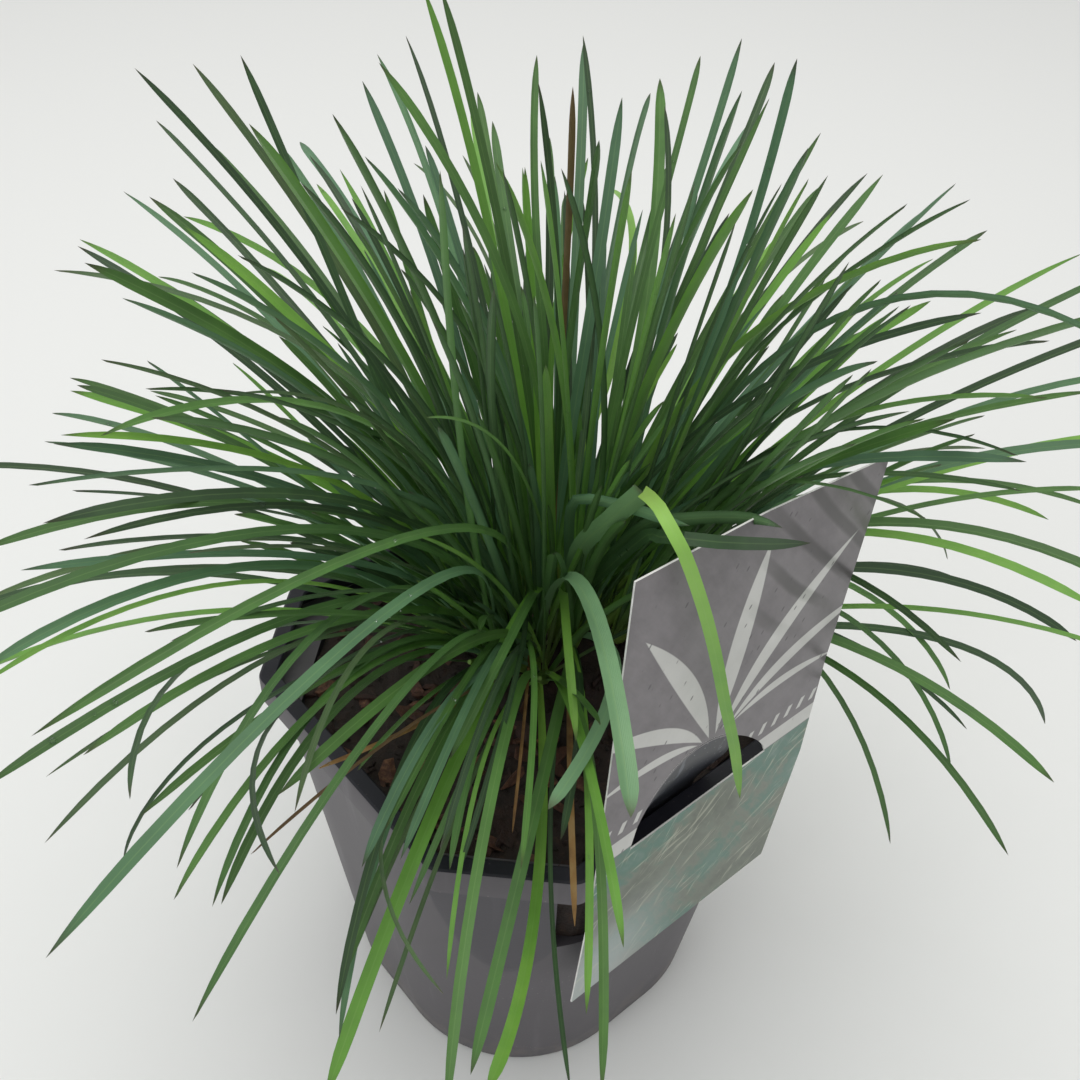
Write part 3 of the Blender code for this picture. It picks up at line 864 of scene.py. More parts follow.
def fit_leaf(foot, seen, reach, far, swing=0.0):
    """The line of a leaf that starts at foot and is seen at its pixels, and how ill it fits."""
    foot = np.array(foot, float)
    ray = pixel_ray(seen["tip"])
    to_foot = foot - CAMERA_PLACE
    depth = to_foot @ ray
    off = np.linalg.norm(to_foot - depth * ray)
    half = math.sqrt(max(reach ** 2 - off ** 2, 0.0))
    end = CAMERA_PLACE + ray * (depth + half if far else depth - half)
    reach = max(reach, off)
    chord = end - foot
    usual_droop = math.radians(float(np.interp(seen["tip"][1], *USUAL_DROOPS)))
    usual_length = reach * LENGTH_TO_REACH
    tilt = math.atan2(math.hypot(chord[0], chord[1]), chord[2])
    azimuth = math.atan2(chord[1], chord[0]) - swing / 2
    start = (azimuth, tilt - usual_droop * 0.42, usual_droop, swing, usual_length)
    tip = np.array(seen["tip"], float)
    by = np.array(seen["by"], float)

    def residuals(p):
        path = project(leaf_line(foot, *p, steps=14))
        return np.concatenate([
            (path[-1] - tip) / TIP_PIXELS,
            distances_to_path(path, by) / PATH_PIXELS,
            [
                (p[2] - usual_droop) / DROOP_SPREAD,
                (p[3] - swing) / SWING_SPREAD,
                (p[4] - usual_length) / LENGTH_SPREAD,
            ],
        ])

    found, cost = solve(residuals, start)
    return leaf_line(foot, *found), cost


def inside_rim(points):
    """How far points lie inside the rim's outline."""
    x, y = points[:, 0], points[:, 1]
    sides = np.maximum(abs(x + y), abs(x - y)) / math.sqrt(2)
    corners = np.maximum(abs(x), abs(y))
    return np.minimum(POT_WIDTH / 2 - sides, RIM_CORNER_WIDTH / 2 - corners)


def faults(line):
    """How many points of a line run through the label, the pot or the floor or leave the box."""
    points = along_line(line, TEST_SHARES)
    out = (points[:, 0] - points[:, 1]) / math.sqrt(2)
    along = (points[:, 0] + points[:, 1]) / math.sqrt(2)
    z = points[:, 2]
    sheet = (along > LABEL_LEFT - 0.002) & (along < LABEL_RIGHT + 0.002)
    sheet &= (z > LABEL_BOTTOM) & (z < LABEL_TOP + 0.001)
    near = abs(out - LABEL_FACE) < SHEET_CLEARANCE
    side = out > LABEL_FACE
    crossing = np.zeros(len(points), bool)
    crossing[1:] = side[1:] != side[:-1]
    count = int((sheet & (near | crossing)).sum()) * 3
    inside = inside_rim(points)
    low = z < POT_HEIGHT + 0.001
    count += int((low & (inside > -0.002) & (inside < RIM_FLANGE + 0.001)).sum())
    count += int((low & (inside >= RIM_FLANGE + 0.001) & (z < SOIL_TOP - 0.001)).sum())
    count += int((z < 0.003).sum())
    lowest, highest = np.array(cad_box[0]), np.array(cad_box[1])
    beyond = (points < lowest + 0.002) | (points > highest - 0.0005)
    return count + int(beyond.any(axis=1).sum())


def hidden(line, pixels):
    """How many of the pixels that show a leaf would show the label before it."""
    points = along_line(line, TEST_SHARES)
    seen_at = project(points)
    count = 0
    for pixel in pixels:
        x, y, z = towards_label(pixel, LABEL_FACE)
        along = (x + y) / math.sqrt(2)
        nearest = points[np.hypot(*(seen_at - np.array(pixel)).T).argmin()]
        on_sheet = LABEL_LEFT < along < LABEL_RIGHT and LABEL_BOTTOM < z < LABEL_TOP - 0.002
        count += on_sheet and nearest @ TO_LABEL < LABEL_FACE
    return count


def leaf(tip, *by, width=1.0, tint="green", far=False, reach=None, blunt=0.91):
    """A leaf in the photograph: the pixel of its tip and pixels that it passes on the way down.
    Far is whether its tip points away from the camera, and blunt where it starts to close."""
    return {
        "tip": tip, "by": by, "width": width, "tint": tint, "far": far, "reach": reach,
        "blunt": blunt,
    }


UPPER_LEFT = [
    leaf((135, 67), (200, 140), (250, 198), (300, 250), width=0.9, tint="dark", far=True),
    leaf((193, 63), (240, 128), (280, 180), (310, 220), tint="grey", far=True),
    leaf((240, 55), (262, 105), (285, 155), (303, 200), (345, 305), tint="dark", far=True),
    leaf((249, 123), (275, 160), (300, 200), (330, 240), (360, 285), width=1.3, tint="light"),
    leaf((333, 113), (360, 170), (397, 235), (440, 330)),
    leaf((300, 183), (320, 203), (345, 235), (365, 270), tint="dark"),
    leaf((173, 178), (200, 207), (240, 245), (300, 315), tint="dark", far=True),
    leaf((184, 214), (220, 235), (260, 255), (330, 292), width=0.9, tint="light", far=True),
    leaf((238, 254), (270, 275), (300, 292), (360, 335), width=0.8, tint="dark"),
    leaf((85, 261), (130, 285), (180, 310), (240, 345), (330, 400), width=1.5),
    leaf((53, 268), (90, 275), (140, 290), (200, 303), (275, 325), width=0.6, tint="grey",
         far=True),
    leaf((122, 297), (150, 308), (200, 335), (300, 385), width=0.8, tint="blue"),
    leaf((158, 276), (190, 288), (250, 312), (300, 345), width=0.7, far=True),
    leaf((192, 270), (215, 285), (245, 305), (330, 350), width=0.9, tint="blue"),
    leaf((275, 316), (310, 355), (350, 395), width=0.6, tint="grey", far=True),
    leaf((341, 207), (385, 245), (430, 288), (455, 315), width=0.7, tint="dark"),
    leaf((366, 155), (390, 192), (430, 250), (480, 325), width=0.9, tint="blue"),
    leaf((360, 185), (375, 215), (400, 270), (425, 340), width=0.5, tint="dark"),
]

UPPER_MIDDLE = [
    leaf((381, 60), (400, 97), (430, 145), (490, 250), (530, 340), width=1.1),
    leaf((440, -14), (460, 60), (475, 120), (490, 180), (510, 290), width=1.1),
    leaf((413, 163), (440, 188), (465, 215), width=0.5, tint="grey", far=True),
    leaf((462, 155), (475, 180), (487, 205), (510, 290), width=0.5, tint="grey", far=True),
    leaf((496, 162), (510, 195), (540, 270), (550, 320), width=0.9, tint="light"),
    leaf((503, 170), (512, 210), (520, 250), (530, 300), width=0.7, tint="dark"),
    leaf((539, 53), (531, 90), (530, 140), (533, 200), (545, 320)),
    leaf((540, 82), (541, 130), (548, 180), (560, 290), width=0.8, tint="dark"),
    leaf((541, 160), (546, 200), (553, 250), (562, 330), width=0.6, tint="light"),
    leaf((573, 86), (571, 130), (569, 180), (566, 290), width=0.8, tint="brown"),
    leaf((583, 35), (588, 90), (593, 140), (596, 200), (595, 290), width=0.8, tint="dark"),
    leaf((600, 140), (592, 180), (585, 230), (578, 290), width=0.9),
    leaf((562, 168), (570, 200), (580, 235), (600, 330), width=0.8, tint="dark"),
    leaf((661, 78), (657, 130), (655, 200), (645, 330), width=1.5, blunt=0.92),
    leaf((665, 105), (668, 160), (667, 220), (660, 300), width=0.8, tint="dark"),
    leaf((632, 170), (625, 210), (617, 250), (603, 350), width=0.8, tint="light"),
    leaf((605, 189), (622, 200), (633, 220), (635, 250), (620, 320), width=1.1, tint="light",
         far=True),
    leaf((677, 213), (668, 235), (660, 270), (645, 340), width=0.7, tint="light"),
    leaf((398, 187), (420, 220), (440, 245), (475, 300), width=0.9, tint="blue"),
    leaf((441, 170), (441, 200), (443, 250), (450, 340), width=0.9),
    leaf((427, 215), (437, 245), (455, 300), width=0.5, tint="grey", far=True),
    leaf((463, 223), (466, 250), (472, 290), (485, 350), width=0.7, tint="dark"),
    leaf((495, 288), (492, 310), (490, 350), (492, 420), tint="dark", blunt=0.90),
    leaf((484, 263), (492, 292), (505, 340), width=0.5, tint="dark"),
    leaf((434, 322), (447, 352), (465, 395), width=0.7, tint="dark"),
    leaf((534, 295), (536, 330), (540, 380), width=0.6),
]

UPPER_RIGHT = [
    leaf((744, 91), (728, 125), (714, 160), (690, 240), (668, 320), width=0.9, tint="blue"),
    leaf((744, 142), (725, 168), (708, 195), (685, 250), width=0.7),
    leaf((797, 58), (785, 110), (772, 170), (745, 250), (708, 350), width=1.1, tint="blue",
         blunt=0.93),
    leaf((810, 148), (795, 170), (780, 205), (735, 310), tint="blue", blunt=0.93),
    leaf((828, 175), (810, 205), (775, 265), (740, 325), width=0.8),
    leaf((808, 178), (798, 200), (785, 225), (750, 290), width=0.6, tint="light"),
    leaf((753, 189), (740, 210), (720, 243), (690, 295), width=1.3, tint="light"),
    leaf((736, 222), (726, 250), (715, 275), (698, 335), width=0.5, tint="dark"),
    leaf((695, 182), (688, 205), (680, 235), (662, 300), width=0.7),
    leaf((864, 221), (830, 240), (800, 262), (750, 308), width=0.7, tint="grey", far=True),
    leaf((908, 204), (880, 222), (855, 248), (810, 290), (760, 340), width=0.9),
    leaf((970, 198), (940, 216), (905, 238), (855, 270), (790, 315), width=0.6, tint="dark"),
    leaf((982, 241), (950, 243), (910, 253), (850, 280), (770, 325), (710, 372), width=1.1,
         tint="light"),
    leaf((849, 261), (838, 282), (812, 325), (785, 370), width=0.7, tint="dark"),
    leaf((880, 278), (865, 300), (830, 338), (790, 378), width=0.8),
    leaf((899, 305), (885, 320), (850, 350), (800, 392), width=0.6),
    leaf((911, 305), (890, 320), (840, 362), width=0.6, tint="dark"),
    leaf((982, 312), (940, 322), (900, 334), (820, 358), (760, 390), width=0.9, tint="dark"),
    leaf((970, 338), (945, 355), (905, 376), (840, 410), width=0.8),
    leaf((1160, 300), (1080, 324), (1040, 338), (960, 365), (880, 395), (820, 425), width=1.3,
         tint="green", reach=0.245),
    leaf((1050, 340), (1020, 343), (960, 358), (900, 372), (820, 397), width=0.8, tint="dark"),
    leaf((878, 361), (850, 370), (825, 383), (775, 412), width=1.1, tint="blue"),
    leaf((853, 374), (840, 388), (800, 430), (770, 460), width=0.8),
    leaf((1095, 391), (1050, 396), (1000, 408), (920, 425), (860, 445), width=0.8),
    leaf((1048, 398), (1010, 395), (960, 397), (890, 407), (820, 425), width=0.8, tint="light"),
    leaf((910, 411), (880, 418), (830, 432), width=0.6, tint="dark"),
    leaf((925, 418), (900, 427), (840, 450), width=0.7),
    leaf((955, 418), (930, 428), (870, 447), (800, 470), width=1.2),
    leaf((1018, 456), (980, 443), (940, 432), (880, 427), (820, 436), width=0.6, tint="dark"),
    leaf((1027, 462), (990, 458), (950, 456), (860, 463), (760, 476), width=1.1, tint="blue"),
    leaf((986, 448), (940, 450), (880, 456), width=0.5, tint="grey", far=True),
    leaf((1130, 352), (1080, 328), (1040, 315), (960, 292), (920, 290), (855, 308), (805, 345),
         width=0.9, tint="blue"),
]

RIGHT_SIDE = [
    leaf((1023, 490), (990, 487), (950, 480), (885, 471), width=0.6),
    leaf((1100, 508), (1050, 497), (1000, 487), (930, 476), width=0.8, far=True,
         reach=0.246),
    leaf((1050, 518), (1000, 507), (960, 495), (890, 485), width=0.9, tint="light", far=True),
    leaf((1165, 606), (1050, 563), (980, 540), (910, 520), (870, 516), width=1.2,
         reach=0.222),
    leaf((1100, 610), (1060, 590), (1000, 560), (930, 538), (865, 535), tint="light"),
    leaf((948, 560), (942, 545), (925, 520), (895, 502), width=0.5, tint="grey", far=True),
    leaf((964, 582), (930, 573), (890, 563), width=0.6, tint="dark"),
    leaf((1078, 640), (1050, 625), (970, 590), (890, 565), width=1.2, tint="dark"),
    leaf((910, 595), (880, 595), (840, 596), width=0.5, tint="dark", far=True),
    leaf((963, 661), (940, 647), (890, 600), (845, 573), width=0.8, tint="dark", far=True),
    leaf((951, 690), (930, 655), (870, 600), (850, 582), width=0.8, far=True),
    leaf((1045, 725), (1000, 665), (970, 645), (900, 632), (830, 628), width=0.9, tint="dark",
         far=True),
    leaf((967, 730), (945, 705), (920, 685), width=0.6, tint="dark", far=True),
    leaf((1057, 781), (1020, 755), (940, 700), (865, 650), (835, 635), width=1.2,
         far=True),
    leaf((952, 770), (915, 690), (865, 630), (840, 608), width=0.7, far=True),
    leaf((898, 746), (880, 725), (830, 690), width=0.7, far=True),
    leaf((858, 700), (840, 685), (820, 667), width=0.5, tint="dark", far=True),
    leaf((888, 845), (885, 800), (875, 755), (835, 700), width=0.7, far=True),
    leaf((893, 782), (870, 765), (815, 718), width=0.5, tint="dark", far=True),
    leaf((1010, 855), (960, 790), (930, 745), (880, 690), (822, 660), width=0.9,
         far=True),
]

LEFT_SIDE = [
    leaf((101, 359), (140, 369), (180, 381), (215, 394), (280, 420), width=0.8, tint="grey"),
    leaf((145, 387), (175, 390), (250, 402), (330, 410), width=0.7, far=True),
    leaf((150, 390), (170, 395), (200, 407), (260, 422), width=0.7, far=True),
    leaf((221, 389), (250, 396), (290, 408), (360, 435), width=0.6, tint="dark"),
    leaf((151, 418), (190, 420), (230, 430), (320, 455), (370, 478), width=1.1),
    leaf((278, 417), (310, 430), (360, 465), width=0.7),
    leaf((60, 434), (100, 435), (150, 441), (240, 453), (310, 468), width=0.8, tint="light"),
    leaf((53, 443), (80, 446), (130, 452), (230, 475), (330, 500), width=1.1, tint="blue"),
    leaf((28, 485), (60, 480), (110, 475), (240, 472), (350, 478), width=1.1, tint="blue",
         far=True, reach=0.252),
    leaf((72, 488), (110, 496), (160, 499), (230, 502), width=0.5, tint="dark", far=True),
    leaf((42, 522), (70, 516), (120, 509), (240, 497), (340, 495), width=1.2, tint="dark"),
    leaf((-25, 552), (0, 541), (70, 525), (180, 508), (280, 500)),
    leaf((83, 538), (110, 532), (150, 524), (230, 508), (330, 508), width=0.8, tint="dark"),
    leaf((58, 549), (100, 545), (150, 541), (260, 540), (350, 545), width=0.8, tint="dark"),
    leaf((20, 570), (50, 565), (100, 561), (220, 559), (340, 556), width=0.9, tint="blue"),
    leaf((188, 555), (205, 547), (225, 545), (255, 550), width=0.4, tint="grey", far=True),
    leaf((-64, 634), (0, 608), (60, 588), (160, 556), (240, 526), (320, 531), width=1.2,
         tint="green", reach=0.222),
    leaf((-22, 600), (40, 583), (110, 562), (200, 538), width=0.7, tint="grey"),
    leaf((-22, 672), (0, 658), (40, 636), (120, 600), (200, 573), (320, 568), width=1.2,
         tint="blue"),
    leaf((-22, 686), (40, 652), (110, 617), (170, 592), (250, 579), (360, 597), width=0.6,
         tint="light"),
    leaf((144, 630), (180, 628), (220, 624), (280, 612), width=0.8),
    leaf((170, 641), (195, 632), (240, 615), width=0.5, tint="dark"),
]

LOWER_LEFT = [
    leaf((28, 733), (60, 718), (140, 675), (210, 635), (290, 580), (360, 548), width=1.2,
         tint="green"),
    leaf((-25, 790), (0, 775), (50, 748), (130, 700), (230, 640), (300, 612), (380, 597),
         width=1.2),
    leaf((130, 800), (133, 770), (150, 708), (190, 660), (260, 635), width=0.5, tint="dark"),
    leaf((82, 754), (110, 738), (150, 712), (240, 660), (310, 628), width=1.1),
    leaf((45, 777), (75, 757), (140, 715), (220, 672), width=0.5, tint="grey"),
    leaf((42, 842), (80, 810), (120, 772), (200, 700), (260, 660), width=0.7, tint="grey"),
    leaf((43, 957), (70, 930), (150, 848), (230, 755), (300, 690), (380, 612), (480, 572),
         width=1.5, tint="blue"),
    leaf((125, 862), (138, 812), (165, 775), (210, 738), (270, 705), width=0.6, tint="dark"),
    leaf((138, 815), (170, 795), (230, 745), (300, 690), width=0.9),
    leaf((174, 868), (190, 840), (225, 780), (250, 710), (290, 660), width=0.9),
    leaf((188, 811), (200, 795), (240, 750), width=0.5, tint="dark"),
    leaf((173, 900), (195, 865), (250, 785), (300, 725), (350, 680), width=0.9),
    leaf((212, 907), (225, 875), (258, 795), (310, 715), (360, 665), width=0.9),
    leaf((222, 905), (250, 835), (300, 750), (345, 705), (400, 660), width=1.1),
    leaf((280, 875), (265, 840), (250, 780), (265, 735), (310, 690), width=0.5, tint="dark"),
    leaf((250, 854), (280, 830), (330, 785), (370, 755), width=0.4, tint="brown"),
    leaf((278, 795), (295, 775), (350, 735), (420, 670), width=1.4),
    leaf((296, 813), (298, 795), (305, 765), width=0.7, tint="grey"),
    leaf((190, 1021), (215, 985), (275, 885), (345, 765), (390, 715), (440, 650)),
    leaf((338, 988), (357, 945), (380, 895), (420, 800), width=0.6, tint="grey"),
    leaf((339, 1040), (345, 1000), (360, 920), (380, 840), (430, 740), width=0.9, tint="blue"),
    leaf((322, 1098), (350, 1035), (390, 935), (425, 840), (470, 720), (500, 650), width=1.8,
         tint="light"),
    leaf((335, 1015), (352, 940), (372, 870), (388, 800), (425, 720), width=1.1, tint="dark"),
    leaf((362, 868), (385, 810), (415, 755), (452, 700), width=1.2, tint="blue"),
    leaf((340, 985), (365, 905), (402, 830), (432, 760), (462, 700), width=1.2),
]

LOWER_MIDDLE = [
    leaf((377, 1032), (397, 1000), (405, 940), (440, 860), (480, 760), width=0.6, tint="grey"),
    leaf((445, 995), (405, 940), (385, 895), (378, 860), (390, 800), width=0.5, tint="grey"),
    leaf((448, 980), (451, 920), (455, 880), (475, 800), width=0.6, tint="light"),
    leaf((470, 1075), (480, 1040), (505, 930), (535, 820), (545, 760), width=1.6),
    leaf((486, 1090), (510, 1030), (530, 970), (545, 870), (535, 790), (532, 700), width=1.5,
         tint="light"),
    leaf((573, 1090), (560, 1040), (552, 960), (548, 880), (560, 760), width=0.6, tint="dark"),
    leaf((588, 1015), (585, 960), (586, 900), (592, 820), tint="light"),
    leaf((603, 1095), (602, 1040), (600, 960), (596, 840), (590, 740), width=1.2),
    leaf((623, 948), (618, 910), (610, 860), (595, 800), (578, 730), width=1.2, tint="light"),
    leaf((548, 810), (565, 785), (585, 750), (612, 705), width=1.7, tint="pale", blunt=0.95,
         reach=0.15),
    leaf((632, 818), (625, 780), (608, 680), (590, 600), width=2.1, tint="pale", blunt=0.95,
         reach=0.16),
    leaf((560, 840), (572, 790), (580, 720), (572, 650), tint="dark", reach=0.15),
    leaf((450, 870), (458, 820), (470, 770), (492, 700), width=0.9, reach=0.15),
    leaf((420, 800), (440, 745), (470, 690), (505, 640), width=1.2, reach=0.14),
    leaf((576, 927), (572, 890), (568, 800), (572, 700), width=0.8, tint="dry", reach=0.15),
    leaf((590, 882), (597, 840), (604, 780), width=0.6, tint="dry", reach=0.15),
    leaf((512, 833), (518, 790), (525, 710), width=0.4, tint="dry", reach=0.12),
    leaf((578, 742), (568, 700), (562, 650), (566, 590), width=1.1, tint="light", reach=0.12),
    leaf((450, 760), (470, 715), (505, 650), (538, 592), width=1.1, reach=0.13),
    leaf((410, 905), (430, 850), (470, 760), (500, 700), width=0.8),
    leaf((460, 880), (465, 830), (490, 760), (520, 680), width=0.7, tint="dark"),
    leaf((520, 870), (528, 820), (533, 720), width=0.8),
    leaf((400, 860), (430, 790), (470, 700), (510, 640), tint="blue"),
    leaf((440, 850), (455, 800), (490, 700), width=0.9, tint="dark"),
    leaf((385, 830), (410, 780), (460, 690), width=0.9),
]

SMALL = [
    leaf((463, 248), (468, 280), width=0.5, tint="dark"),
    leaf((458, 297), (470, 325), width=0.5),
    leaf((782, 183), (770, 205), width=0.4, tint="dark"),
    leaf((871, 368), (858, 385), width=0.5),
    leaf((856, 443), (840, 450), (820, 457), width=0.8),
    leaf((925, 520), (915, 510), (895, 502), (875, 499), width=0.6),
    leaf((243, 393), (265, 390), (300, 396), width=0.5, tint="grey"),
    leaf((100, 435), (130, 427), (165, 416), (195, 403), width=0.8),
    leaf((318, 768), (360, 752), (400, 735), width=0.6, tint="dry", reach=0.14),
    leaf((627, 655), (625, 645), (618, 610), (613, 587), width=0.8, tint="light", reach=0.10),
    leaf((480, 690), (503, 645), (522, 610), (545, 585), width=1.1, tint="light", reach=0.10),
    leaf((426, 417), (445, 418), (464, 421), width=0.4, tint="light"),
]

SEEN = UPPER_LEFT + UPPER_MIDDLE + UPPER_RIGHT + RIGHT_SIDE + LEFT_SIDE + LOWER_LEFT + LOWER_MIDDLE
SEEN += SMALL

# Leaves that rest on the label: a place above the foot, and runs of pixels with their distances
# from the pot's axis towards the label, each with its seen width, tint and where it closes
RESTING = [
    ((0.014, 0.012, 0.185), [
        ((((578, 553), 0.020), ((610, 520), 0.042), ((643, 492), 0.066)), 20.0, "pale", 1.0),
        ((((643, 492), 0.066), ((656, 503), 0.075), ((666, 519), 0.0815), ((677, 540), 0.0860),
          ((687, 560), 0.0888), ((704, 610), 0.0915), ((716, 657), 0.0930), ((725, 704), 0.0945),
          ((735, 751), 0.0955), ((740, 799), 0.0965)), 12.5, "light", 0.80),
    ]),
    ((0.010, 0.018, 0.190), [
        ((((571, 508), 0.018), ((600, 501), 0.034), ((640, 511), 0.055), ((670, 521), 0.072),
          ((690, 526), 0.083)), 11.0, "blue", 0.80),
    ]),
    ((0.018, 0.018, 0.190), [
        ((((640, 528), 0.040), ((690, 519), 0.060), ((718, 517), 0.070), ((745, 518), 0.0805),
          ((763, 521), 0.0888), ((783, 528), 0.0915)), 12.5, "dark", 0.86),
    ]),
    ((0.016, 0.014, 0.185), [
        ((((640, 540), 0.050), ((657, 537), 0.067), ((680, 538), 0.0815), ((705, 541), 0.0880),
          ((737, 543), 0.0900), ((772, 544), 0.0915), ((811, 543), 0.0930)), 13.0, "dark", 0.88),
    ]),
]

DROPS = [
    (568, 459), (412, 493), (521, 612), (410, 603), (387, 618), (377, 620), (403, 614), (390, 544),
    (489, 514), (540, 452), (637, 524), (644, 507), (631, 552), (400, 579), (413, 567), (464, 556),
    (439, 596), (768, 175), (649, 290), (108, 448), (105, 706), (90, 722), (45, 749), (322, 769),
]


def shoot_graph(node):
    """A shoot's vertices with near copies joined, their links and the lowest ring's numbers."""
    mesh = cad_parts[node].data
    index = {}
    places = []
    alias = []
    for vertex in mesh.vertices:
        key = tuple(round(c, 5) for c in vertex.co)
        if key not in index:
            index[key] = len(places)
            places.append(np.array(vertex.co))
        alias.append(index[key])
    links = [set() for _ in places]
    for edge in mesh.edges:
        a, b = (alias[i] for i in edge.vertices)
        links[a].add(b)
        links[b].add(a)
    lowest = min(p[2] for p in places)
    ring = [i for i, p in enumerate(places) if p[2] < lowest + 0.0004]
    return places, links, ring


def shoot_leaves(node):
    """A shoot's foot and the lines of its leaves, from foot to tip, read from its solid."""
    places, links, ring = shoot_graph(node)
    foot = np.mean([places[i] for i in ring], axis=0)
    far = {i: 0.0 for i in ring}
    before = {}
    queue = [(0.0, i) for i in ring]
    while queue:
        reached, i = heapq.heappop(queue)
        if reached > far[i]:
            continue
        for j in links[i]:
            longer = reached + float(np.linalg.norm(places[j] - places[i]))
            if longer < far.get(j, 1e9):
                far[j] = longer
                before[j] = i
                heapq.heappush(queue, (longer, j))
    tips = [i for i in far if far[i] > SHORTEST and all(far[j] <= far[i] for j in links[i])]
    lines = []
    for tip in sorted(tips, key=lambda i: -far[i]):
        if any(np.linalg.norm(places[tip] - line[-1]) < TIPS_APART for line in lines):
            continue
        line = [places[tip]]
        i = tip
        while i in before:
            i = before[i]
            line.append(places[i])
        line = np.array([foot] + line[::-1][1:])
        gaps = np.concatenate([[0.0], np.cumsum(np.linalg.norm(np.diff(line, axis=0), axis=1))])
        share = gaps / gaps[-1]
        fine = np.linspace(0.0, 1.0, 40)
        curve = np.stack([
            np.polyval(np.polyfit(share, line[:, k], 4), fine) for k in range(3)
        ], axis=1)
        curve += (foot - curve[0]) * (1 - fine[:, None]) ** 3
        lines.append(curve)
    return foot, lines[:PACKED_LEAVES]


def tint_of(name, rng):
    """A tint's values with a little chance in them."""
    tone, blue, dry = TINTS[name]
    tone = min(max(tone + rng.uniform(-0.12, 0.12), 0.0), 1.0)
    blue = min(max(blue + rng.uniform(-0.12, 0.12), 0.0), 1.0)
    return tone, blue, dry


def read_shoots():
    shoots = []
    for name in sorted(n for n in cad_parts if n.startswith("shoot_")):
        foot, lines = shoot_leaves(name)
        out = foot[:2] - np.array(CROWN.xy)
        shoots.append({
            "name": name, "foot": foot, "lines": lines, "out": out,
            "spread": float(np.linalg.norm(out)) / CROWN_RADIUS, "leaves": [],
        })
    return shoots


def near_foot(shoot, rng, spread):
    return shoot["foot"] + np.array((rng.uniform(-1, 1), rng.uniform(-1, 1), 0)) * spread


def fit_to_shoots(seen, shoots, rng):
    """The best line for a leaf seen in the photograph, and the shoot that it grows from. None
    where even the best line has too many faults."""
    reach = seen["reach"] or usual_reach(seen["tip"])
    line, _ = fit_leaf(CROWN, seen, reach, seen["far"])
    way = line[-1] - line[0]
    flat = math.hypot(way[0], way[1])
    wanted = way[:2] / max(flat, 1e-6) * min(flat / OUTER_REACH, 1.0) * CROWN_RADIUS
    order = sorted(shoots, key=lambda s: (
        float(np.linalg.norm(s["out"] - wanted)) + CROWDING * len(s["leaves"])
    ))
    trials = [(f, seen["far"]) for f in (1.0, 0.95, 1.05, 0.90, 1.10)]
    trials += [(f, not seen["far"]) for f in (1.0, 0.92)]
    trials += [(f, seen["far"]) for f in (0.84, 0.76, 1.16)]
    beside = sorted(shoots, key=lambda s: -s["foot"][0] - s["foot"][1])[:6]
    total, wrong, found = math.inf, 0, None
    for feet, swing in ((order[:4], 0.0), (beside, -0.7), (beside, -1.2)):
        for factor, far in trials:
            for shoot in feet:
                foot = near_foot(shoot, rng, FOOT_SPREAD)
                line, cost = fit_leaf(foot, seen, reach * factor, far, swing)
                count = faults(line) + 2 * hidden(line, (seen["tip"], *seen["by"]))
                if count * FAULT_COST + cost < total:
                    total, wrong, found = count * FAULT_COST + cost, count, (line, shoot)
            if total < GOOD_FIT:
                break
        if wrong == 0:
            break
    return found if wrong <= ALLOWED_FAULTS else None


def grow(shoot, line, width, tint, rng, **more):
    """Adds a leaf to a shoot, with chance in what isn't given."""
    item = {
        "line": line, "width": width, "tint": tint_of(tint, rng), "fold": rng.uniform(0.10, 0.40),
        "roll": rng.uniform(-0.35, 0.35), "twist": rng.uniform(-0.3, 0.3),
        "blunt": rng.uniform(0.84, 0.94), "base": 0.6, "facing": 0.3, "pixels": None,
    }
    item.update(more)
    shoot["leaves"].append(item)


def tuft_edge(tips):
    """For each direction in the picture from the crown, how far out the seen tips reach."""
    offset = project(np.array(tips)) - np.array(TUFT_CENTRE)
    turns = np.arctan2(offset[:, 1], offset[:, 0])
    far = np.hypot(offset[:, 0], offset[:, 1])
    steps = np.linspace(-math.pi, math.pi, 73)
    edge = []
    for step in steps:
        apart = abs((turns - step + math.pi) % (2 * math.pi) - math.pi)
        edge.append(max(far[apart < math.radians(8)], default=260.0))
    return steps, np.array(edge)


def within_edge(line, edge):
    """A line cut off where it leaves the tuft's seen outline."""
    fine = along_line(line, np.linspace(0.0, 1.0, 60))
    offset = project(fine) - np.array(TUFT_CENTRE)
    far = np.hypot(offset[:, 0], offset[:, 1])
    limit = np.interp(np.arctan2(offset[:, 1], offset[:, 0]), *edge)
    over = np.nonzero(far > limit)[0]
    return fine[:over[0]] if len(over) else fine


def reaches_side(line):
    """Whether a packed leaf is one of those that give the plant its full size."""
    lowest, highest = np.array(cad_box[0]), np.array(cad_box[1])
    return bool((line < lowest + 0.004)[:, :2].any() or (line > highest - 0.004).any())


def nearest_shoot(shoots, point):
    """The shoot whose foot stands nearest below a point, where shoots with few leaves go first."""
    return min(shoots, key=lambda s: (
        float(np.linalg.norm(s["foot"][:2] - point[:2])) + 0.003 * len(s["leaves"])
    ))


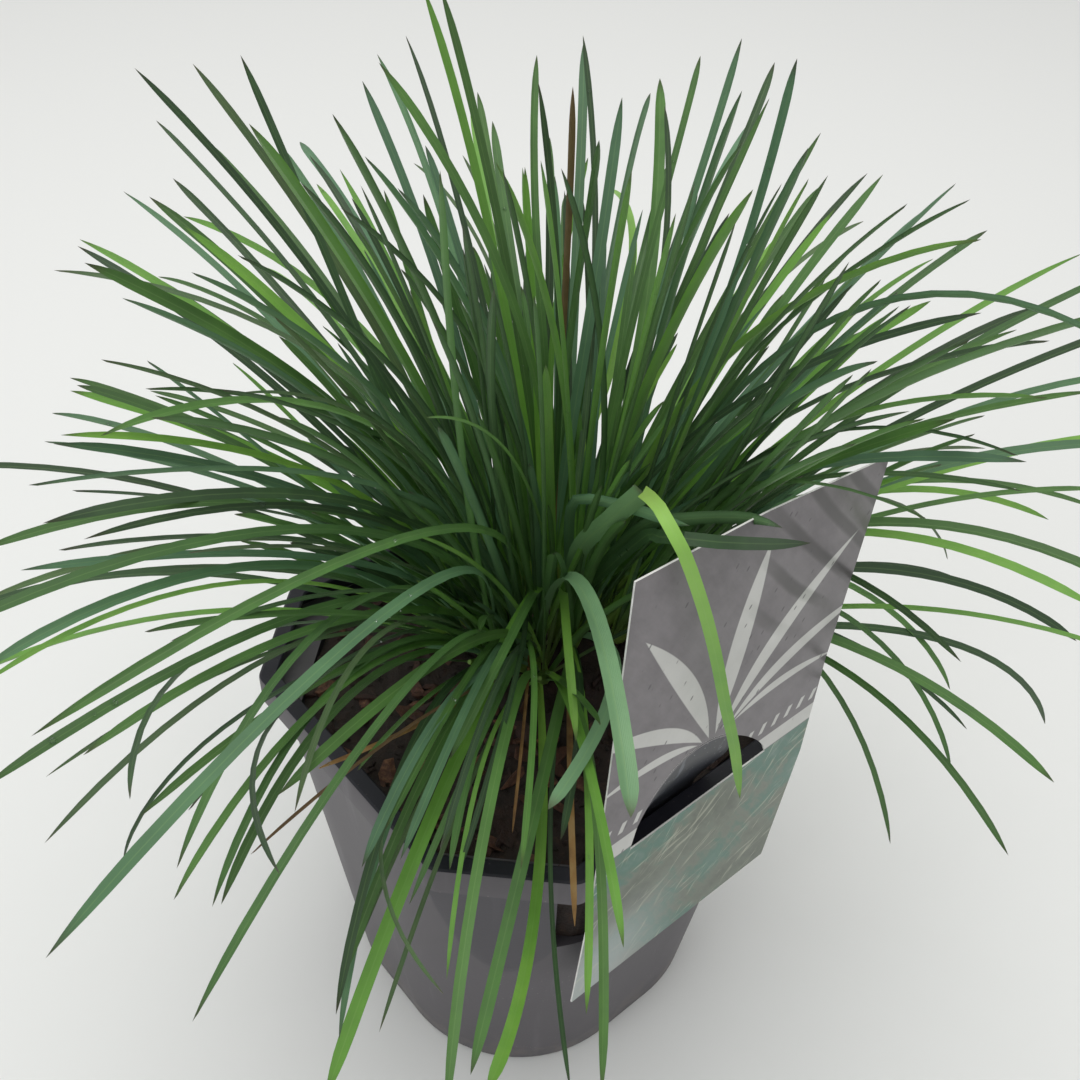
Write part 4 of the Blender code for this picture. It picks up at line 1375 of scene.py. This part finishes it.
def make_leaves(finish):
    """One piece for each packed shoot, with the leaves that grow from it."""
    rng = random.Random(11)
    shoots = read_shoots()
    tips = []
    for seen in SEEN:
        found = fit_to_shoots(seen, shoots, rng)
        if not found:
            continue
        line, shoot = found
        grow(shoot, line, LEAF_WIDTH, seen["tint"], rng, blunt=seen["blunt"], facing=0.45,
             pixels=seen["width"] * USUAL_PIXELS)
        tips.append(line[-1])
    edge = tuft_edge(tips)

    # Leaves that rest on the label, each a chain of smooth runs with folds between them
    for start, runs in RESTING:
        shoot = nearest_shoot(shoots, np.array(start))
        before = [shoot["foot"], shoot["foot"] * 0.3 + np.array(start) * 0.7]
        for route, pixels, tint, blunt in runs:
            points = [towards_label(pixel, out) for pixel, out in route]
            line = spline(before + points)
            grow(shoot, line, LEAF_WIDTH, tint, rng, blunt=blunt, base=0.6 if before else 1.0,
                 roll=0.0, twist=0.0, fold=0.1, facing=0.9, pixels=pixels)
            before = []

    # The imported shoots' own leaves, where no leaf above stands for them
    taken = set()
    for tip in tips:
        gaps = [
            (float(np.linalg.norm(line[-1] - tip)), s["name"], k)
            for s in shoots for k, line in enumerate(s["lines"]) if (s["name"], k) not in taken
        ]
        if gaps and min(gaps)[0] < TAKEN_WITHIN:
            taken.add(min(gaps)[1:])
    for shoot in shoots:
        for k, line in enumerate(shoot["lines"]):
            if reaches_side(line):
                line = along_line(line, np.linspace(0.0, SIDE_LEAF_SHARE, 48))
            elif (shoot["name"], k) in taken:
                continue
            else:
                line = within_edge(line, edge)
                if len(line) < KEPT_POINTS or faults(line):
                    continue
            grow(shoot, line, LEAF_WIDTH * rng.uniform(0.75, 1.15), rng.choice(COMMON_TINTS), rng)

    # Shorter leaves inside the tuft
    for shoot in shoots:
        azimuth = math.atan2(shoot["out"][1], shoot["out"][0])
        for _ in range(FILLERS):
            turn = azimuth + rng.uniform(-0.7, 0.7)
            lean = math.radians(6 + 46 * shoot["spread"] * rng.uniform(0.3, 1.0))
            droop = math.radians(rng.uniform(5, 30))
            long = rng.uniform(0.080, 0.175)
            foot = near_foot(shoot, rng, FILLER_SPREAD)
            line = leaf_line(foot, turn, lean, droop, rng.uniform(-0.2, 0.2), long)
            line = within_edge(line, edge)
            if len(line) < KEPT_POINTS or faults(line):
                continue
            grow(shoot, line, LEAF_WIDTH * rng.uniform(0.5, 1.0), rng.choice(COMMON_TINTS), rng,
                 fold=rng.uniform(0.15, 0.6))

    for shoot in shoots:
        build = Build()
        for item in shoot["leaves"]:
            add_leaf(build, **item)
        heading = np.array((*shoot["out"], 0.030))
        add_sheath(build, shoot["foot"], heading, SHEATH_LENGTH, SHEATH_TINT)
        piece = build.piece("leaves_" + shoot["name"][-2:], finish)
        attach(piece, "root")
        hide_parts(shoot["name"])
    return shoots


def make_drops(shoots, finish):
    """Water drops on the leaves: where the photograph shows them and at a few other places."""
    rng = random.Random(5)
    shares = np.linspace(0.15, 0.97, 40)
    spots = np.concatenate([
        along_line(item["line"], shares) for shoot in shoots for item in shoot["leaves"]
    ])
    seen_at = project(spots)
    depth = (spots - CAMERA_PLACE) @ FORWARD
    build = Build()
    places = []
    for pixel in DROPS:
        near = np.hypot(*(seen_at - np.array(pixel)).T)
        places.append(int((depth + near * 0.02).argmin()))
    places += [rng.randrange(len(spots)) for _ in range(MORE_DROPS)]
    for k in places:
        radius = rng.uniform(*DROP_RADIUS)
        add_drop(build, spots[k] + np.array((0.0, 0.0, radius * 0.5)), radius, rng)
    piece = build.piece("water_drops", finish, 180.0)
    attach(piece, "root")


def add_drop(build, middle, radius, rng):
    """A slightly flattened, uneven drop."""
    bm = bmesh.new()
    bmesh.ops.create_icosphere(bm, subdivisions=2, radius=radius)
    stretch = rng.uniform(0.85, 1.2)
    first = len(build.points)
    bm.verts.index_update()
    for vertex in bm.verts:
        x, y, z = vertex.co
        sag = 1.0 - 0.25 * z / radius
        build.points.append(middle + np.array((x * sag * stretch, y * sag, z * 0.8)))
        build.grid.append((0.0, 0.0))
        build.growth.append((0.0, 0.0, 0.0, 0.0))
    for face in bm.faces:
        build.faces.append(tuple(first + v.index for v in face.verts))
    bm.free()


# Pot

def quarter(half, centre, radius, stop):
    """A quarter of an outline round a corner that points along +X: from the middle of one side,
    round an arc that stops at an angle from +X, and across the flat between it and its mirror."""
    root = math.sqrt(0.5)
    cx, cy = centre
    first = []
    end = root * (cx + cy)
    for k in range(STRAIGHT_STEPS):
        s = end * k / STRAIGHT_STEPS
        first.append((root * (half + s), root * (s - half)))
    for k in range(ARC_STEPS + 1):
        turn = -math.pi / 4 + (math.pi / 4 - stop) * k / ARC_STEPS
        first.append((cx + radius * math.cos(turn), cy + radius * math.sin(turn)))
    x, y = first[-1]
    flat = [(x, y - 2 * y * k / FACET_STEPS) for k in range(1, FACET_STEPS)]
    mirror = [(px, -py) for px, py in reversed(first)]
    return first + flat + mirror[:-1]


def round_outline(points, height):
    ring = []
    for k in range(4):
        turn = math.pi / 2 * (k - 1)
        for x, y in points:
            ring.append((
                x * math.cos(turn) - y * math.sin(turn),
                x * math.sin(turn) + y * math.cos(turn),
                height,
            ))
    return ring


def body_ring(height, inset, drawn_at=None):
    """The tapering body's outline at a height, moved in by inset."""
    slope = (POT_WIDTH - 0.0006 - BASE_WIDTH) / (POT_HEIGHT - BAND_HEIGHT)
    width = BASE_WIDTH + slope * height
    radius = CORNER_SHARE * width - inset
    half = width / 2 - inset
    centre = (half - radius) * math.sqrt(2)
    share = min((FACET_WIDTH / 2 - inset - centre) / radius, 1.0)
    points = quarter(half, (centre, 0.0), radius, math.acos(share))
    return round_outline(points, height if drawn_at is None else drawn_at)


def rim_ring(height, inset):
    """The eight-sided rim's outline, moved in by inset."""
    radius = max(BAND_EDGE_RADIUS - inset, 0.0012)
    half = POT_WIDTH / 2 - inset
    cx = RIM_CORNER_WIDTH / 2 - inset - radius
    cy = cx - (half - radius) * math.sqrt(2)
    return round_outline(quarter(half, (cx, cy), radius, 0.0), height)


def loft(bm, rings):
    """Joins rings of equal counts with faces and closes both ends."""
    made = [[bm.verts.new(p) for p in ring] for ring in rings]
    count = len(made[0])
    for low, high in zip(made, made[1:]):
        for i in range(count):
            k = (i + 1) % count
            bm.faces.new((low[i], low[k], high[k], high[i]))
    bm.faces.new(made[0])
    bm.faces.new(made[-1])
    return made


def finished(bm, name, material, angle):
    bmesh.ops.remove_doubles(bm, verts=bm.verts, dist=0.00002)
    bmesh.ops.recalc_face_normals(bm, faces=bm.faces)
    mesh = mesh_of(bm, name)
    mesh.materials.append(material)
    mesh.shade_smooth()
    mesh.set_sharp_from_angle(angle=math.radians(angle))
    return placed(name, mesh)


def cut(target, tool):
    """Applies an exact Boolean difference and removes the tool."""
    step = target.modifiers.new("cut", "BOOLEAN")
    step.operation = "DIFFERENCE"
    step.solver = "EXACT"
    step.object = tool
    bpy.context.view_layer.update()
    graph = bpy.context.evaluated_depsgraph_get()
    old = target.data
    target.data = bpy.data.meshes.new_from_object(target.evaluated_get(graph))
    target.modifiers.remove(step)
    bpy.data.meshes.remove(old)
    bpy.data.objects.remove(tool, do_unlink=True)


def make_pot(finish, shaded_inside_finish):
    """The moulded pot: rounded foot, tapering wall with four flat facets, banded eight-sided rim
    with a flat flange, label slot and drain holes."""
    band_low = POT_HEIGHT - BAND_HEIGHT
    heights = list(np.linspace(0.0022, FACET_FOOT, 10)[:-1])
    heights += [FACET_FOOT + (band_low - FACET_FOOT) * (k / 12) ** 2 for k in range(13)]
    rings = [body_ring(0.0, 0.030, 0.0), body_ring(0.0, 0.0020), body_ring(0.0006, 0.0007)]
    rings += [body_ring(z, 0.0) for z in heights]
    rings += [
        rim_ring(band_low, 0.0005),
        rim_ring(band_low + 0.0005, 0.0),
        rim_ring(POT_HEIGHT - 0.0011, 0.0),
        rim_ring(POT_HEIGHT - 0.0004, 0.0003),
        rim_ring(POT_HEIGHT, 0.0011),
        rim_ring(POT_HEIGHT, RIM_FLANGE - 0.0006),
        rim_ring(POT_HEIGHT - 0.0005, RIM_FLANGE),
        rim_ring(POT_HEIGHT - RIM_THICKNESS, RIM_FLANGE),
        rim_ring(POT_HEIGHT - RIM_THICKNESS, WALL),
        rim_ring(band_low + WALL, WALL),
        body_ring(band_low, WALL + 0.0002),
        body_ring(FLOOR + 0.002, WALL),
        body_ring(FLOOR, WALL + 0.0015),
        body_ring(FLOOR, 0.030),
    ]
    bm = bmesh.new()
    loft(bm, rings)
    pot = finished(bm, "pot_shell", finish, CREASE)
    tools = bmesh.new()
    for i in range(DRAIN_HOLES):
        turn = 2 * math.pi * (i + 0.5) / DRAIN_HOLES
        middle = (DRAIN_CIRCLE * math.cos(turn), DRAIN_CIRCLE * math.sin(turn), 0.0)
        bmesh.ops.create_cone(
            tools, cap_ends=True, segments=28, radius1=DRAIN_RADIUS, radius2=DRAIN_RADIUS,
            depth=0.02, matrix=Matrix.Translation(middle),
        )
    size = (SLOT_X[1] - SLOT_X[0], 0.04, SLOT_Z[1] - SLOT_Z[0])
    middle = ((SLOT_X[0] + SLOT_X[1]) / 2, -0.080, (SLOT_Z[0] + SLOT_Z[1]) / 2)
    bmesh.ops.create_cube(tools, size=1.0, matrix=Matrix.LocRotScale(middle, None, size))
    cut(pot, finished(tools, "cutters", finish, 30))
    pot.data.shade_smooth()
    pot.data.set_sharp_from_angle(angle=math.radians(CREASE))
    # The rim's top and the faces inside the pot take the second material, painted dark as painted
    # shade under the leaves.
    pot.data.materials.append(shaded_inside_finish)
    for face in pot.data.polygons:
        x, y, z = face.center
        inwards = face.normal.x * x + face.normal.y * y < -0.3 * math.hypot(x, y)
        top = face.normal.z > 0.8 and z > POT_HEIGHT - 0.003
        if top or (inwards and inside_rim(np.array([[x, y, z]]))[0] > 0.0 and z > 0.001):
            face.material_index = 1
    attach(pot, "root")
    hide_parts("pot")


# Soil

def soil_height(x, y):
    """The soil's lumpy top."""
    high = SOIL_TOP - 0.0016
    high += 0.0020 * noise.noise(Vector((x * 60, y * 60, 1.0)))
    high += 0.0014 * noise.noise(Vector((x * 150, y * 150, 5.0)))
    high += 0.0007 * noise.noise(Vector((x * 420, y * 420, 9.0)))
    from_crown = math.hypot(x - CROWN.x, y - CROWN.y)
    high += 0.0016 * max(0.0, 1.0 - from_crown / (CROWN_RADIUS * 1.5))
    return min(high, SOIL_TOP + 0.0015)


def make_soil(finish):
    edge = body_ring(SOIL_TOP, WALL + GAP)
    rings = [body_ring(FLOOR + GAP, 0.030), body_ring(FLOOR + GAP, WALL + GAP),
             body_ring(SOIL_TOP - 0.004, WALL + GAP)]
    for k in range(SOIL_RINGS + 1):
        share = 1.0 - 0.985 * k / SOIL_RINGS
        ring = []
        for x, y, _ in edge:
            ring.append((x * share, y * share, soil_height(x * share, y * share)))
        rings.append(ring)
    bm = bmesh.new()
    loft(bm, rings)
    soil = finished(bm, "root_ball", finish, 60)
    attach(soil, "root")
    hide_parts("soil")


def add_lump(build, middle, size, turn, rng, corners=9):
    """A small broken solid: the hull of points near a box's surface."""
    bm = bmesh.new()
    for _ in range(corners):
        place = Vector([rng.uniform(-1, 1) for _ in range(3)])
        place /= max(abs(c) for c in place) ** 0.75
        bm.verts.new(turn @ Vector([c * s / 2 for c, s in zip(place, size)]) + middle)
    bmesh.ops.convex_hull(bm, input=bm.verts)
    loose = [v for v in bm.verts if not v.link_faces]
    bmesh.ops.delete(bm, geom=loose, context="VERTS")
    first = len(build.points)
    tone = rng.random()
    bm.verts.index_update()
    for vertex in bm.verts:
        build.points.append(np.array(vertex.co))
        build.grid.append((0.0, 0.0))
        build.growth.append((tone, 0.0, 0.0, 0.0))
    for face in bm.faces:
        build.faces.append(tuple(first + v.index for v in face.verts))
    bm.free()


def soil_place(rng):
    """A place on the soil inside the wall."""
    while True:
        x = rng.uniform(-0.085, 0.085)
        y = rng.uniform(-0.085, 0.085)
        inside = inside_rim(np.array([[x, y, 0.0]]))[0]
        if inside > 0.0085:
            return x, y


def make_bark(bark, soil):
    rng = random.Random(23)
    chips = Build()
    for _ in range(BARK_CHIPS):
        x, y = soil_place(rng)
        size = (rng.uniform(0.005, 0.016), rng.uniform(0.003, 0.007), rng.uniform(0.0012, 0.0032))
        turn = Matrix.Rotation(rng.uniform(0, math.tau), 3, "Z")
        turn = turn @ Matrix.Rotation(rng.uniform(-0.5, 0.5), 3, "X")
        turn = turn @ Matrix.Rotation(rng.uniform(-0.4, 0.4), 3, "Y")
        add_lump(chips, Vector((x, y, soil_height(x, y) + 0.0006)), size, turn, rng, 11)
    piece = chips.piece("bark_chips", bark, 25.0)
    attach(piece, "root")
    crumbs = Build()
    for _ in range(CRUMBS):
        x, y = soil_place(rng)
        size = [rng.uniform(0.0008, 0.0028) for _ in range(3)]
        turn = Matrix.Rotation(rng.uniform(0, math.tau), 3, "Z")
        add_lump(crumbs, Vector((x, y, soil_height(x, y) + 0.0002)), size, turn, rng, 7)
    piece = crumbs.piece("soil_crumbs", soil, 25.0)
    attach(piece, "root")


# Label

def on_side(along, out, up):
    """A point by its place along the pot's front right side, its distance from the axis and its
    height."""
    return Vector(((out + along) / math.sqrt(2), (along - out) / math.sqrt(2), up))


def arch_height(along):
    """The height of the opening's upper edge."""
    t = min(max((along - ARCH_RIGHT) / (ARCH_LEFT - ARCH_RIGHT), 0.0), 1.0)
    return LIP + 0.001 + ARCH_RISE * math.sin(math.pi * t ** 1.30) ** 0.55


def solid_sheet(name, rows, materials):
    """A thin solid sheet through rows of points, with the UV map print."""
    bm = bmesh.new()
    grid = [[bm.verts.new(p) for p in row] for row in rows]
    layer = bm.loops.layers.uv.new("print")
    for low, high in zip(grid, grid[1:]):
        for i in range(len(low) - 1):
            face = bm.faces.new((low[i], low[i + 1], high[i + 1], high[i]))
            for loop in face.loops:
                p = loop.vert.co
                loop[layer].uv = ((p.x + p.y) / math.sqrt(2) * 10, p.z * 10)
    made = placed(name, mesh_of(bm, name))
    for material in materials:
        made.data.materials.append(material)
    solid = made.modifiers.new("thickness", "SOLIDIFY")
    solid.thickness = LABEL_THICKNESS
    solid.offset = 0.0
    solid.material_offset_rim = 1
    bpy.context.view_layer.update()
    graph = bpy.context.evaluated_depsgraph_get()
    made.data = bpy.data.meshes.new_from_object(made.evaluated_get(graph))
    made.modifiers.remove(solid)
    return made


def make_label(print_finish, edge_finish, shaded_tongue_finish):
    """The label: a thin sheet that follows the wall below the band, with its opening and its
    tongue. Its top slopes down to the right, where its corner curls out a little."""
    fold = POT_HEIGHT - BAND_HEIGHT - 0.001
    below = np.linspace(LABEL_BOTTOM, fold, 24)[:-1]
    rows = []
    for level in np.concatenate([below, np.linspace(fold, LABEL_TOP, 44)]):
        rise = max((level - fold) / (LABEL_TOP - fold), 0.0)
        back = max(fold - level, 0.0) * math.tan(LABEL_TUCK) + LABEL_LEAN * rise ** 2
        row = []
        for across in np.linspace(0.0, 1.0, 34):
            along = LABEL_LEFT + (LABEL_RIGHT - LABEL_LEFT) * across
            along += rise * (LABEL_SHIFTS[0] * (1 - across) + LABEL_SHIFTS[1] * across)
            curl = LABEL_CURL * max(rise - 0.35, 0.0) * max(across - 0.5, 0.0)
            up = level - LABEL_SLOPE * across * rise ** 2
            row.append(on_side(along, LABEL_FACE - back + curl, up))
        rows.append(row)
    label = solid_sheet("label_sheet", rows, (print_finish, edge_finish))
    outline = [(ARCH_LEFT, LIP)]
    for a in np.linspace(ARCH_LEFT, ARCH_RIGHT, 36):
        outline.append((a, arch_height(a)))
    outline.append((ARCH_RIGHT, LIP + 0.001))
    bm = bmesh.new()
    front = [bm.verts.new(on_side(a, LABEL_FACE + 0.01, up)) for a, up in outline]
    bmesh.ops.remove_doubles(bm, verts=front, dist=0.0002)
    cap = bm.faces.new([v for v in front if v.is_valid])
    pushed = bmesh.ops.extrude_face_region(bm, geom=[cap])
    moved = [v for v in pushed["geom"] if isinstance(v, bmesh.types.BMVert)]
    bmesh.ops.translate(bm, verts=moved, vec=on_side(0.0, -0.02, 0.0))
    cut(label, finished(bm, "opening", edge_finish, 30))
    label.data.shade_smooth()
    label.data.set_sharp_from_angle(angle=math.radians(25))
    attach(label, "root")
    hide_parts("label")

    # The tongue bends in from the top of the opening and goes down between the rim and the soil
    backs = spline([(back, 0, 0) for back in TONGUE_BACKS], 5)[:, 0]
    low = POT_HEIGHT - 0.0095
    rows = []
    for i, back in enumerate(backs):
        share = i / (len(backs) - 1)
        half = TONGUE_HALF + TONGUE_BULGE * math.sin(math.pi * min(share * 1.25, 1.0))
        row = []
        for side in np.linspace(-1.0, 1.0, 18):
            along = TONGUE_MIDDLE + side * half
            top = arch_height(along) + 0.0012
            row.append(on_side(along, LABEL_FACE + back, top + (low - top) * share))
        rows.append(row)
    # The tongue's print is painted bluish black as painted shade.
    tongue = solid_sheet("label_tongue", rows, (shaded_tongue_finish, edge_finish))
    tongue.data.shade_smooth()
    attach(tongue, "root")


def main():
    make_camera()
    make_studio()
    make_pot(pot_material(), shaded_pot_inside_material())
    soil = soil_material()
    make_soil(soil)
    make_bark(bark_material(), soil)
    make_label(label_material(), label_edge_material(), shaded_tongue_material())
    make_drops(make_leaves(leaf_material()), water_material())


main()
